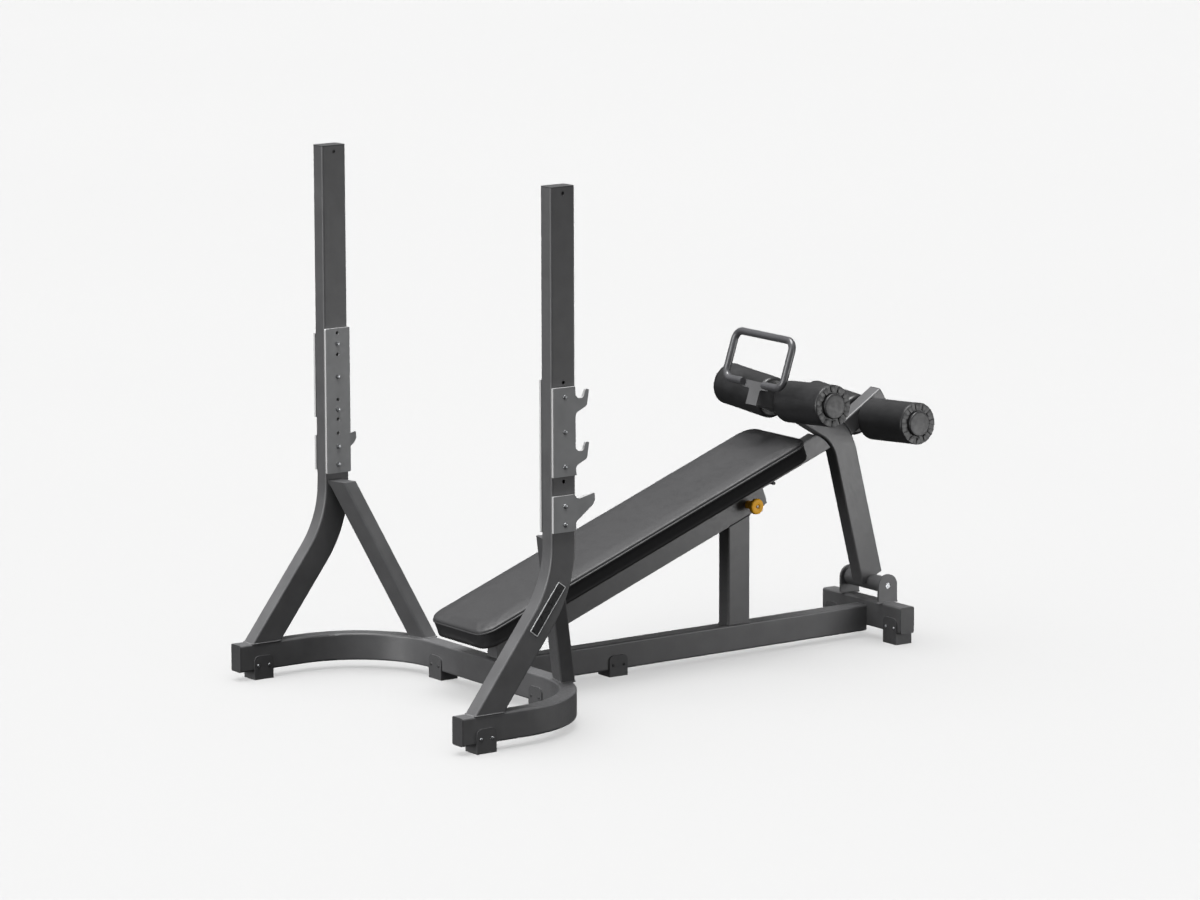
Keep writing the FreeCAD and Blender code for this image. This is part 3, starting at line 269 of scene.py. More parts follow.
@dataclass(frozen=True)
class Finish:
    """What a surface is made of and how it was made."""

    name: str
    tone: str
    rough: float

    metallic = 0.0
    ior = 1.5

    def material(self) -> bpy.types.Material:
        """Builds the finish's material the first time it is asked for.

        Returns:
            The material.
        """
        ready = bpy.data.materials.get(self.name)
        if ready:
            return ready
        made = bpy.data.materials.new(self.name)
        made.use_nodes = True
        tree = made.node_tree
        tree.nodes.clear()
        places = add_node(tree, "ShaderNodeTexCoord")
        colour, rough, normal = self.pattern(tree, places)
        shader = add_node(tree, "ShaderNodeBsdfPrincipled", {
            "Base Color": colour, "Roughness": rough, "Normal": normal, "Metallic": self.metallic})
        if self.ior:
            shader.inputs["IOR"].default_value = self.ior
        add_node(tree, "ShaderNodeOutputMaterial", {"Surface": shader.outputs["BSDF"]})
        made.diffuse_color = linear(self.tone)
        return made

    def pattern(self, tree: bpy.types.NodeTree, places: bpy.types.Node) -> Sockets:
        """Builds the finish's detail.

        Args:
            tree: The material's tree.
            places: Its Texture Coordinate node.

        Returns:
            The sockets for colour, roughness and normal.
        """
        raise NotImplementedError

    def shaded(
        self, tree: bpy.types.NodeTree, vector: bpy.types.NodeSocket, across: float, low: float, high: float
    ) -> bpy.types.NodeSocket:
        """Varies the finish's tone in soft clouds.

        Args:
            tree: The material's tree.
            vector: Where the pattern is read.
            across: Size of a cloud in millimetres.
            low: Darkest share of the tone.
            high: Lightest share of the tone.

        Returns:
            The colour socket.
        """
        cloud = add_node(tree, "ShaderNodeTexNoise", {"Vector": vector, "Scale": per(across), "Detail": 4.0})
        share = add_node(tree, "ShaderNodeMapRange", {
            "Value": cloud.outputs["Fac"], **NOISE_SPAN, "To Min": low, "To Max": high})
        tone = add_node(
            tree, "ShaderNodeMix", {6: linear(self.tone), 7: share.outputs["Result"], "Factor": 1.0},
            data_type="RGBA", blend_type="MULTIPLY")
        return tone.outputs[2]

    def spread(
        self, tree: bpy.types.NodeTree, vector: bpy.types.NodeSocket, across: float, reach: float
    ) -> bpy.types.NodeSocket:
        """Varies the roughness.

        Args:
            tree: The material's tree.
            vector: Where the pattern is read.
            across: Size of its features in millimetres.
            reach: How far the roughness wanders each way.

        Returns:
            The roughness socket.
        """
        fine = add_node(tree, "ShaderNodeTexNoise", {"Vector": vector, "Scale": per(across), "Detail": 3.0})
        share = add_node(tree, "ShaderNodeMapRange", {
            "Value": fine.outputs["Fac"], **NOISE_SPAN,
            "To Min": self.rough - reach, "To Max": self.rough + reach})
        return share.outputs["Result"]

    def relief(
        self, tree: bpy.types.NodeTree, height: bpy.types.NodeSocket, depth: float, strength: float = 1.0
    ) -> bpy.types.NodeSocket:
        """Turns a height pattern into a normal.

        Args:
            tree: The material's tree.
            height: The pattern.
            depth: Its depth in millimetres.
            strength: How much of it shows.

        Returns:
            The normal socket.
        """
        bump = add_node(tree, "ShaderNodeBump", {
            "Height": height, "Distance": depth * MM, "Strength": strength})
        return bump.outputs["Normal"]


@dataclass(frozen=True)
class PowderCoat(Finish):
    """Baked polyester powder on steel: satin, with a faint orange peel."""

    # Tone of the painted highlight on faces that don't face along X, which are the plates' edges; empty for
    # none.
    edge_highlight_tone: str = ""

    def pattern(self, tree: bpy.types.NodeTree, places: bpy.types.Node) -> Sockets:
        """Soft clouds, orange peel of about 2 mm, and on sawn plates a painted highlight: a paler tone on the
        edge faces, where they catch the light.

        Args:
            tree: The material's tree.
            places: Its Texture Coordinate node.

        Returns:
            The sockets for colour, roughness and normal.
        """
        vector = places.outputs["Object"]
        colour = self.shaded(tree, vector, 60, 0.9, 1.1)
        peel = add_node(tree, "ShaderNodeTexNoise", {"Vector": vector, "Scale": per(2.4), "Detail": 2.0})
        # Painted highlight: faces turned away from X, the plates' edges, are mixed towards the pale highlight
        # tone.
        if self.edge_highlight_tone:
            sides = add_node(tree, "ShaderNodeSeparateXYZ", {0: places.outputs["Normal"]})
            flat = add_node(tree, "ShaderNodeMath", {0: sides.outputs["X"]}, operation="ABSOLUTE")
            edge = add_node(tree, "ShaderNodeMapRange", {
                "Value": flat.outputs[0], "From Min": 0.5, "From Max": 0.8, "To Min": 1.0, "To Max": 0.0})
            mixed = add_node(tree, "ShaderNodeMix", {
                0: edge.outputs["Result"], 6: colour, 7: linear(self.edge_highlight_tone)}, data_type="RGBA")
            colour = mixed.outputs[2]
        return colour, self.spread(tree, vector, 9, 0.05), self.relief(tree, peel.outputs["Fac"], 0.12, 0.35)


@dataclass(frozen=True)
class UpholsteryVinyl(Finish):
    """Calendered PVC on cloth: a pebbled leather grain with a soft dry sheen."""

    grain: float = 1.8
    # Painted shade in the grain: the darker tone that the creases between pebbles are mixed towards.
    crease_shade_tone: str = "#222223"

    def pattern(self, tree: bpy.types.NodeTree, places: bpy.types.Node) -> Sockets:
        """Rounded grain pebbles with painted shade in the creases between them, over slow tone changes.

        Args:
            tree: The material's tree.
            places: Its Texture Coordinate node.

        Returns:
            The sockets for colour, roughness and normal.
        """
        vector = places.outputs["Object"]
        colour = self.shaded(tree, vector, 90, 0.92, 1.08)
        pebble = add_node(tree, "ShaderNodeTexVoronoi", {
            "Vector": vector, "Scale": per(self.grain), "Randomness": 0.9}, feature="DISTANCE_TO_EDGE")
        crease = add_node(tree, "ShaderNodeMapRange", {
            "Value": pebble.outputs["Distance"], "From Min": 0.0, "From Max": 0.25})
        # Painted shade: the creases between pebbles darken towards the crease shade tone.
        creased = add_node(tree, "ShaderNodeMix", {
            0: crease.outputs["Result"], 6: linear(self.crease_shade_tone), 7: colour}, data_type="RGBA")
        return (creased.outputs[2], self.spread(tree, vector, 25, 0.05),
                self.relief(tree, crease.outputs["Result"], 0.16, 0.5))


@dataclass(frozen=True)
class MouldedPlastic(Finish):
    """Injection moulded plastic: an even spark-eroded grain, glossier where hands rub it."""

    grain: float = 0.9
    depth: float = 0.05

    def pattern(self, tree: bpy.types.NodeTree, places: bpy.types.Node) -> Sockets:
        """Fine moulding grain over very slow tone changes.

        Args:
            tree: The material's tree.
            places: Its Texture Coordinate node.

        Returns:
            The sockets for colour, roughness and normal.
        """
        vector = places.outputs["Object"]
        grain = add_node(tree, "ShaderNodeTexNoise", {
            "Vector": vector, "Scale": per(self.grain), "Detail": 2.0})
        return (self.shaded(tree, vector, 40, 0.93, 1.07), self.spread(tree, vector, 12, 0.06),
                self.relief(tree, grain.outputs["Fac"], self.depth, 0.5))


@dataclass(frozen=True)
class FoamSkin(Finish):
    """Self-skinned rubber foam: a semi-gloss skin with pores and long soft extrusion marks."""

    def pattern(self, tree: bpy.types.NodeTree, places: bpy.types.Node) -> Sockets:
        """Small pores over broad dents in the skin.

        Args:
            tree: The material's tree.
            places: Its Texture Coordinate node.

        Returns:
            The sockets for colour, roughness and normal.
        """
        vector = places.outputs["Object"]
        pores = add_node(tree, "ShaderNodeTexVoronoi", {"Vector": vector, "Scale": per(2.2)})
        dents = add_node(tree, "ShaderNodeTexNoise", {"Vector": vector, "Scale": per(22), "Detail": 3.0})
        both = add_node(tree, "ShaderNodeMath", {
            0: pores.outputs["Distance"], 1: 0.25, 2: dents.outputs["Fac"]}, operation="MULTIPLY_ADD")
        return (self.shaded(tree, vector, 30, 0.88, 1.12), self.spread(tree, vector, 15, 0.07),
                self.relief(tree, both.outputs[0], 0.5, 0.35))


@dataclass(frozen=True)
class PlatedSteel(Finish):
    """Zinc plated or bright drawn steel: a clear metal sheen, clouded where it was handled."""

    metallic = 1.0
    ior = None

    def pattern(self, tree: bpy.types.NodeTree, places: bpy.types.Node) -> Sockets:
        """Drawn lines across the part with slight clouding.

        Args:
            tree: The material's tree.
            places: Its Texture Coordinate node.

        Returns:
            The sockets for colour, roughness and normal.
        """
        vector = places.outputs["Object"]
        along = add_node(tree, "ShaderNodeMapping", {"Vector": vector, "Scale": (0.06, 1.0, 1.0)})
        lines = add_node(tree, "ShaderNodeTexNoise", {
            "Vector": along.outputs[0], "Scale": per(0.7), "Detail": 2.0})
        return (self.shaded(tree, vector, 12, 0.85, 1.1), self.spread(tree, vector, 6, 0.08),
                self.relief(tree, lines.outputs["Fac"], 0.02, 0.4))


@dataclass(frozen=True)
class Plywood(Finish):
    """Stained birch plywood: rotary-cut grain on the faces and thin dark glue lines on the edge."""

    grain_tone: str = "#2b2724"
    ply: float = 1.5

    def pattern(self, tree: bpy.types.NodeTree, places: bpy.types.Node) -> Sockets:
        """Grain runs along the bench, and a line shows between plies.

        Args:
            tree: The material's tree.
            places: Its Texture Coordinate node.

        Returns:
            The sockets for colour, roughness and normal.
        """
        vector = places.outputs["Object"]
        square = add_node(tree, "ShaderNodeMapping", {"Vector": vector, "Rotation": (-BEAM_SLOPE, 0.0, 0.0)})
        stretched = add_node(tree, "ShaderNodeMapping", {
            "Vector": square.outputs[0], "Scale": (1.0, 0.06, 1.0)})
        grain = add_node(tree, "ShaderNodeTexNoise", {
            "Vector": stretched.outputs[0], "Scale": per(7), "Detail": 6.0, "Distortion": 0.8})
        plies = add_node(tree, "ShaderNodeTexWave", {
            "Vector": square.outputs[0], "Scale": per(self.ply) / (2 * math.pi)}, bands_direction="Z")
        wood = add_node(tree, "ShaderNodeMix", {
            0: grain.outputs["Fac"], 6: linear(self.grain_tone), 7: linear(self.tone)}, data_type="RGBA")
        glued = add_node(tree, "ShaderNodeMix", {0: 0.25, 6: wood.outputs[2], 7: plies.outputs["Color"]},
                         data_type="RGBA", blend_type="MULTIPLY")
        return (glued.outputs[2], self.spread(tree, vector, 10, 0.05),
                self.relief(tree, grain.outputs["Fac"], 0.1))


# The satin charcoal coat of all the tubes; broad soft reflections and no sparkle.
FRAME_PAINT = PowderCoat("charcoal_powder_coat", "#515152", 0.42)
# The same powder on the bent handle rod, rubbed by hands to a clearer highlight.
HANDLE_PAINT = PowderCoat("handle_powder_coat", "#444446", 0.32)
# A lighter grey on the sawn rack plates, with a painted highlight on their edges where they catch the light.
PLATE_PAINT = PowderCoat("grey_powder_coated_plate", "#7c7d7e", 0.4, "#b4b4b4")
# Dark and dry, so that the cushion's crown reads as one soft gradient.
VINYL = UpholsteryVinyl("charcoal_upholstery_vinyl", "#2d2d2e", 0.56)
# Nearly black, with a long soft highlight along each roller.
FOAM_SKIN = FoamSkin("black_foam_skin", "#202021", 0.38)
# Slightly duller than the foam, so that the ribbed end rings stand off it.
RING_PLASTIC = MouldedPlastic("charcoal_moulded_nylon", "#202021", 0.46)
# The tubes' end caps: flatter and darker than the paint beside them.
CAP_PLASTIC = MouldedPlastic("black_moulded_polyethylene", "#3a3a3b", 0.5)
# A slippery close-grained black for the guide and the bushes.
GUIDE_PLASTIC = MouldedPlastic("natural_black_acetal", "#2a2a2b", 0.38, 1.4, 0.03)
# Matt, with a coarser grain than the plastics.
FOOT_RUBBER = MouldedPlastic("black_moulded_rubber", "#424243", 0.66, 1.3, 0.09)
# The one strong colour on the bench, for the part that is pulled.
ORANGE_PLASTIC = MouldedPlastic("orange_moulded_abs", "#ffb804", 0.6, 1.2, 0.02)
# Small pale glints at the screws.
ZINC = PlatedSteel("bright_zinc_plate", "#a2a4a6", 0.38)
# Clearer and brighter, for axles and pins.
DRAWN_STEEL = PlatedSteel("bright_drawn_steel", "#b0b2b4", 0.26)
# Screws that hardly show against the rubber.
BLACK_OXIDE = MouldedPlastic("black_oxide_screw", "#2a2a2b", 0.5, 1.2, 0.02)
# The blank plate's rim and its glossy middle.
BADGE_RIM = MouldedPlastic("pale_satin_enamel", "#c9cacb", 0.45, 1.5, 0.02)
ENAMEL = MouldedPlastic("dark_enamel", "#2d2d2e", 0.3, 1.5, 0.02)
# The board's underside and edge: dark wood whose grain shows only close by.
BOARD = Plywood("black_stained_plywood", "#3d3833", 0.6)


def dress(nodes: dict[str, bpy.types.Object], names: Iterable[str], finish: Finish) -> None:
    """Gives CAD nodes a finish in their own material slots.

    Args:
        nodes: The frame's nodes by name.
        names: Which nodes to dress.
        finish: What they are finished in.
    """
    for name in names:
        data = nodes[name].data
        if not data.materials:
            data.materials.append(finish.material())
        for place in nodes[name].material_slots:
            place.material = finish.material()
        LOG.info("dressed %s in %s", name, finish.name)


def settle(
    obj: bpy.types.Object, finish: Finish | None, body: str, replaces: Sequence[str] = ()
) -> bpy.types.Object:
    """Hands a finished piece to the frame.

    Args:
        obj: The piece, at the origin with its place in its mesh.
        finish: What it is finished in, or None where its mesh has that already.
        body: The CAD body that it rides on.
        replaces: CAD nodes that it stands for.

    Returns:
        The same piece.
    """
    if finish:
        obj.data.materials.clear()
        obj.data.materials.append(finish.material())
    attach(obj, body)
    if replaces:
        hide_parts(*replaces)
    LOG.info("piece %s rides on %s, %d faces", obj.name, body, len(obj.data.polygons))
    return obj


# ---- Geometry Nodes -----------------------------------------------------------------------------


class Drive(Enum):
    """The top of a fastener."""

    SOCKET = "domed head with a hexagon socket"
    CROSS = "domed head with a cross recess"
    NUT = "hexagon nut with the thread standing out"


class Rule:
    """A Geometry Nodes tree with named inputs, run once and kept as a plain mesh."""

    def __init__(self, name: str, sizes: Sequence[str]) -> None:
        """Starts a tree that takes a geometry, a finish and some sizes in metres or counts.

        Args:
            name: The tree's name.
            sizes: Names of its number inputs.
        """
        self.tree = bpy.data.node_groups.new(name, "GeometryNodeTree")
        face = self.tree.interface
        face.new_socket(name="Places", in_out="INPUT", socket_type="NodeSocketGeometry")
        face.new_socket(name="Finish", in_out="INPUT", socket_type="NodeSocketMaterial")
        for size in sizes:
            face.new_socket(name=size, in_out="INPUT", socket_type="NodeSocketFloat")
        face.new_socket(name="Pieces", in_out="OUTPUT", socket_type="NodeSocketGeometry")
        self.given = add_node(self.tree, "NodeGroupInput").outputs

    def add(self, kind: str, inputs: dict[str | int, Any] | None = None, **settings: Any) -> bpy.types.Node:
        """Adds a node to this tree."""
        return add_node(self.tree, kind, inputs, **settings)

    def end(self, geometry: bpy.types.NodeSocket) -> None:
        """Realises the instances, sets the finish and closes the tree."""
        real = self.add("GeometryNodeRealizeInstances", {"Geometry": geometry})
        dressed = self.add("GeometryNodeSetMaterial", {
            "Geometry": real.outputs[0], "Material": self.given["Finish"]})
        self.add("NodeGroupOutput", {"Pieces": dressed.outputs[0]})

    def made(
        self, name: str, places: bpy.types.Mesh, finish: Finish, bevel: float = 0, **values: float
    ) -> bpy.types.Object:
        """Runs the tree.

        Args:
            name: The new piece's name.
            places: The mesh that the tree starts from.
            finish: What the piece is finished in.
            bevel: Width in millimetres by which sharp edges are softened.
            **values: The tree's number inputs, with _ for a space.

        Returns:
            The new piece, with a plain mesh.
        """
        host = linked(name + "_host", places)
        rule = host.modifiers.new("rule", "NODES")
        rule.node_group = self.tree
        wanted = {key.replace("_", " "): value for key, value in values.items()}
        for item in self.tree.interface.items_tree:
            if item.in_out == "INPUT" and item.name in wanted:
                rule[item.identifier] = float(wanted[item.name])
            elif item.name == "Finish":
                rule[item.identifier] = finish.material()
        if bevel:
            soft = host.modifiers.new("soft", "BEVEL")
            soft.width, soft.segments, soft.limit_method = bevel * MM, 2, "ANGLE"
            soft.angle_limit = math.radians(40)
        graph = bpy.context.evaluated_depsgraph_get()
        mesh = bpy.data.meshes.new_from_object(host.evaluated_get(graph))
        mesh.name = name
        mesh.polygons.foreach_set("use_smooth", [True] * len(mesh.polygons))
        mesh.set_sharp_from_angle(angle=math.radians(35))
        removed(host)
        if not mesh.materials:
            mesh.materials.append(finish.material())
        return linked(name, mesh)


def fastener_rule(drive: Drive) -> Rule:
    """Builds the rule that sets a fastener at each point, facing the way its point says.

    Args:
        drive: The kind of top.

    Returns:
        The rule, with inputs Head (diameter), Rise and Recess in metres.
    """
    rule = Rule("fasteners_" + drive.name.lower(), ["Head", "Rise", "Recess"])
    given = rule.given
    half = rule.add("ShaderNodeMath", {0: given["Head"], 1: 0.5}, operation="MULTIPLY").outputs[0]
    twice = rule.add("ShaderNodeMath", {0: given["Rise"], 1: 2.0}, operation="MULTIPLY").outputs[0]
    lift = rule.add("ShaderNodeCombineXYZ", {"Z": given["Rise"]}).outputs[0]
    if drive is Drive.NUT:
        hexagon = rule.add("GeometryNodeMeshCylinder", {
            "Vertices": 6, "Radius": half, "Depth": given["Rise"]})
        thread = rule.add("GeometryNodeMeshCylinder", {
            "Vertices": 20, "Radius": given["Recess"], "Depth": twice})
        low = rule.add("ShaderNodeVectorMath", {0: lift, "Scale": 0.5}, operation="SCALE").outputs[0]
        nut = rule.add("GeometryNodeTransform", {"Geometry": hexagon.outputs["Mesh"], "Translation": low})
        stub = rule.add("GeometryNodeTransform", {"Geometry": thread.outputs["Mesh"], "Translation": low})
        shape = rule.add("GeometryNodeJoinGeometry", {0: [stub.outputs[0], nut.outputs[0]]}).outputs[0]
    else:
        ball = rule.add("GeometryNodeMeshUVSphere", {"Segments": 28, "Rings": 14, "Radius": 1.0})
        squat = rule.add("ShaderNodeCombineXYZ", {"X": half, "Y": half, "Z": given["Rise"]}).outputs[0]
        dome = rule.add("GeometryNodeTransform", {"Geometry": ball.outputs["Mesh"], "Scale": squat})
        block = rule.add("ShaderNodeCombineXYZ", {
            "X": given["Head"], "Y": given["Head"], "Z": twice}).outputs[0]
        under = rule.add("GeometryNodeMeshCube", {"Size": block})
        sunk = rule.add("ShaderNodeVectorMath", {0: lift, "Scale": -0.98}, operation="SCALE").outputs[0]
        base = rule.add("GeometryNodeTransform", {"Geometry": under.outputs["Mesh"], "Translation": sunk})
        tools = [base.outputs[0]]
        if drive is Drive.SOCKET:
            well = rule.add("GeometryNodeMeshCylinder", {
                "Vertices": 6, "Radius": given["Recess"], "Depth": given["Rise"]})
            tools.append(rule.add("GeometryNodeTransform", {
                "Geometry": well.outputs["Mesh"], "Translation": lift}).outputs[0])
        else:
            thin = rule.add("ShaderNodeMath", {0: given["Recess"], 1: 0.3}, operation="MULTIPLY").outputs[0]
            for across, along in ((given["Recess"], thin), (thin, given["Recess"])):
                slot = rule.add("ShaderNodeCombineXYZ", {
                    "X": across, "Y": along, "Z": given["Rise"]}).outputs[0]
                bar = rule.add("GeometryNodeMeshCube", {"Size": slot})
                tools.append(rule.add("GeometryNodeTransform", {
                    "Geometry": bar.outputs["Mesh"], "Translation": lift}).outputs[0])
        cut = rule.add("GeometryNodeMeshBoolean", {
            "Mesh 1": dome.outputs[0], "Mesh 2": tools}, operation="DIFFERENCE")
        shape = cut.outputs["Mesh"]
    facing = rule.add("GeometryNodeInputNamedAttribute", {"Name": "facing"}, data_type="FLOAT_VECTOR")
    turned = rule.add("FunctionNodeAlignRotationToVector", {"Vector": facing.outputs["Attribute"]}, axis="Z")
    spots = rule.add("GeometryNodeMeshToPoints", {"Mesh": given["Places"]})
    placed = rule.add("GeometryNodeInstanceOnPoints", {
        "Points": spots.outputs["Points"], "Instance": shape, "Rotation": turned.outputs["Rotation"]})
    rule.end(placed.outputs["Instances"])
    return rule


def rib_rule() -> Rule:
    """Builds the rule that sets wedge ribs in a circle on each roller end.

    Returns:
        The rule, with inputs Count, Inner, Outer, Width and Rise; each point faces along its axle.
    """
    rule = Rule("radial_ribs", ["Count", "Inner", "Outer", "Width", "Rise"])
    given = rule.given
    length = rule.add("ShaderNodeMath", {
        0: given["Outer"], 1: given["Inner"]}, operation="SUBTRACT").outputs[0]
    middle = rule.add("ShaderNodeMath", {0: given["Outer"], 1: given["Inner"]}, operation="ADD").outputs[0]
    pitch = rule.add("ShaderNodeMath", {0: middle, 1: 0.5}, operation="MULTIPLY").outputs[0]
    size = rule.add("ShaderNodeCombineXYZ", {"X": length, "Y": given["Width"], "Z": given["Rise"]})
    block = rule.add("GeometryNodeMeshCube", {
        "Size": size.outputs[0],
        "Vertices X": 2, "Vertices Y": 2, "Vertices Z": 2})
    place = rule.add("GeometryNodeInputPosition")
    split = rule.add("ShaderNodeSeparateXYZ", {0: place.outputs[0]})
    share = rule.add("ShaderNodeMath", {0: split.outputs["X"], 1: length}, operation="DIVIDE").outputs[0]
    taper = rule.add("ShaderNodeMath", {0: share, 1: 0.7, 2: 1.0}, operation="MULTIPLY_ADD").outputs[0]
    wide = rule.add("ShaderNodeMath", {0: split.outputs["Y"], 1: taper}, operation="MULTIPLY").outputs[0]
    fall = rule.add("ShaderNodeMath", {0: share, 1: -0.3, 2: 0.85}, operation="MULTIPLY_ADD").outputs[0]
    tall = rule.add("ShaderNodeMath", {0: split.outputs["Z"], 1: fall}, operation="MULTIPLY").outputs[0]
    wedge = rule.add("GeometryNodeSetPosition", {
        "Geometry": block.outputs["Mesh"],
        "Position": rule.add("ShaderNodeCombineXYZ", {
            "X": split.outputs["X"], "Y": wide, "Z": tall}).outputs[0]})
    out = rule.add("GeometryNodeTransform", {
        "Geometry": wedge.outputs[0],
        "Translation": rule.add("ShaderNodeCombineXYZ", {"X": pitch}).outputs[0]})
    count = rule.add("FunctionNodeFloatToInt", {0: given["Count"]})
    spokes = rule.add("GeometryNodePoints", {"Count": count.outputs[0]})
    order = rule.add("GeometryNodeInputIndex")
    step = rule.add("ShaderNodeMath", {0: 2 * math.pi, 1: given["Count"]}, operation="DIVIDE").outputs[0]
    angle = rule.add("ShaderNodeMath", {0: order.outputs[0], 1: step}, operation="MULTIPLY").outputs[0]
    wheel = rule.add("GeometryNodeInstanceOnPoints", {
        "Points": spokes.outputs[0], "Instance": out.outputs[0],
        "Rotation": rule.add("ShaderNodeCombineXYZ", {"Z": angle}).outputs[0]})
    facing = rule.add("GeometryNodeInputNamedAttribute", {"Name": "facing"}, data_type="FLOAT_VECTOR")
    turned = rule.add("FunctionNodeAlignRotationToVector", {"Vector": facing.outputs["Attribute"]}, axis="Z")
    spots = rule.add("GeometryNodeMeshToPoints", {"Mesh": given["Places"]})
    placed = rule.add("GeometryNodeInstanceOnPoints", {
        "Points": spots.outputs["Points"], "Instance": wheel.outputs[0],
        "Rotation": turned.outputs["Rotation"]})
    rule.end(placed.outputs["Instances"])
    return rule


def bead_rule() -> Rule:
    """Builds the rule that runs a bead along every chain of edges.

    Returns:
        The rule, with inputs Radius, Pitch and Ripple; a ripple of 0 gives a smooth welt.
    """
    rule = Rule("rippled_bead", ["Radius", "Pitch", "Ripple"])
    given = rule.given
    line = rule.add("GeometryNodeMeshToCurve", {"Mesh": given["Places"]})
    fine = rule.add("ShaderNodeMath", {0: given["Pitch"], 1: 0.25}, operation="MULTIPLY").outputs[0]
    even = rule.add("GeometryNodeResampleCurve", {"Curve": line.outputs[0], "Length": fine}, mode="LENGTH")
    along = rule.add("GeometryNodeSplineParameter")
    phase = rule.add("ShaderNodeMath", {
        0: along.outputs["Length"], 1: given["Pitch"]}, operation="DIVIDE").outputs[0]
    turn = rule.add("ShaderNodeMath", {0: phase, 1: 2 * math.pi}, operation="MULTIPLY").outputs[0]
    wave = rule.add("ShaderNodeMath", {0: turn}, operation="SINE").outputs[0]
    swell = rule.add("ShaderNodeMath", {
        0: wave, 1: given["Ripple"], 2: 1.0}, operation="MULTIPLY_ADD").outputs[0]
    thick = rule.add("ShaderNodeMath", {0: swell, 1: given["Radius"]}, operation="MULTIPLY").outputs[0]
    sized = rule.add("GeometryNodeSetCurveRadius", {"Curve": even.outputs[0], "Radius": thick})
    ring = rule.add("GeometryNodeCurvePrimitiveCircle", {"Resolution": 10, "Radius": 1.0})
    tube_inputs: dict[str | int, Any] = {"Curve": sized.outputs[0], "Profile Curve": ring.outputs["Curve"]}
    tube = rule.add("GeometryNodeCurveToMesh", tube_inputs)
    if "Scale" in tube.inputs:
        rule.tree.links.new(thick, tube.inputs["Scale"])
    tube.inputs["Fill Caps"].default_value = True
    rule.end(tube.outputs["Mesh"])
    return rule


def facing_points(name: str, spots: Sequence[tuple[Vector, Vector]]) -> bpy.types.Mesh:
    """A mesh of single points, each with the way that it faces.

    Args:
        name: The mesh's name.
        spots: Place and direction pairs.

    Returns:
        The mesh, with the vector attribute "facing".
    """
    mesh = bpy.data.meshes.new(name)
    mesh.from_pydata([tuple(place) for place, _ in spots], [], [])
    facing = mesh.attributes.new("facing", "FLOAT_VECTOR", "POINT")
    for item, (_, direction) in zip(facing.data, spots):
        item.vector = direction
    return mesh


def edge_chains(name: str, loops: Sequence[Sequence[Vector]]) -> bpy.types.Mesh:
    """Makes a mesh of closed chains of edges.

    Args:
        name: The mesh's name.
        loops: The points of each chain.

    Returns:
        The mesh, with no faces.
    """
    mesh = bpy.data.meshes.new(name)
    points: list[tuple[float, ...]] = []
    edges: list[tuple[int, int]] = []
    for loop in loops:
        first = len(points)
        points += [tuple(p) for p in loop]
        edges += [(first + i, first + (i + 1) % len(loop)) for i in range(len(loop))]
    mesh.from_pydata(points, edges, [])
    return mesh


# ---- Lines that several sub-assemblies share ----------------------------------------------------


@dataclass(frozen=True)
class Datum:
    """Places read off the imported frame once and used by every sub-assembly."""

    rack_y: float

    @classmethod
    def read(cls) -> Datum:
        """Finds the uprights' front face from the hinge pin's place."""
        low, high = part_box("hinge_pin")
        return cls(rack_y=(low.y + high.y) / 2 - HINGE_REACH)

    def point(self, x: float, y: float, z: float) -> Vector:
        """A point given in millimetres from the uprights' front face."""
        return Vector((x * MM, self.rack_y + y * MM, z * MM))

    def beam_matrix(self) -> Matrix:
        """Takes local X across, Y up the beam and Z square to it, to the frame."""
        start = Vector((0, self.rack_y, BEAM_LINE_HEIGHT))
        return Matrix.Translation(start) @ Matrix.Rotation(BEAM_SLOPE, 4, "X")


def seam_loop(node: bpy.types.Object, point: Vector, normal: Vector, near: float = 0.25 * MM) -> list[Vector]:
    """Where a tube's end meets a plane.

    Args:
        node: The CAD node's object whose end lies in the plane.
        point: A point of the plane.
        normal: The plane's direction.
        near: How far a vertex may stand from the plane.

    Returns:
        The tube's outline in that plane as a closed loop of points.
    """
    normal = normal.normalized()
    side = normal.orthogonal().normalized()
    other = normal.cross(side)
    flat: list[tuple[float, float]] = []
    for vertex in node.data.vertices:
        away = vertex.co - point
        if abs(away.dot(normal)) < near:
            flat.append((round(away.dot(side), 6), round(away.dot(other), 6)))
    flat = sorted(set(flat))

    def chain(points: Sequence[tuple[float, float]]) -> list[tuple[float, float]]:
        """Goes along one half of the outline, always turning the same way.

        Args:
            points: The flat points, in order across.

        Returns:
            The points of that half, without its last.
        """
        kept: list[tuple[float, float]] = []
        for p in points:
            while len(kept) > 1 and ((kept[-1][0] - kept[-2][0]) * (p[1] - kept[-2][1])
                                     - (kept[-1][1] - kept[-2][1]) * (p[0] - kept[-2][0])) <= 1e-12:
                kept.pop()
            kept.append(p)
        return kept[:-1]

    outline = chain(flat) + chain(flat[::-1])
    return [point + side * u + other * v for u, v in outline]


# ---- Sub-assemblies -----------------------------------------------------------------------------


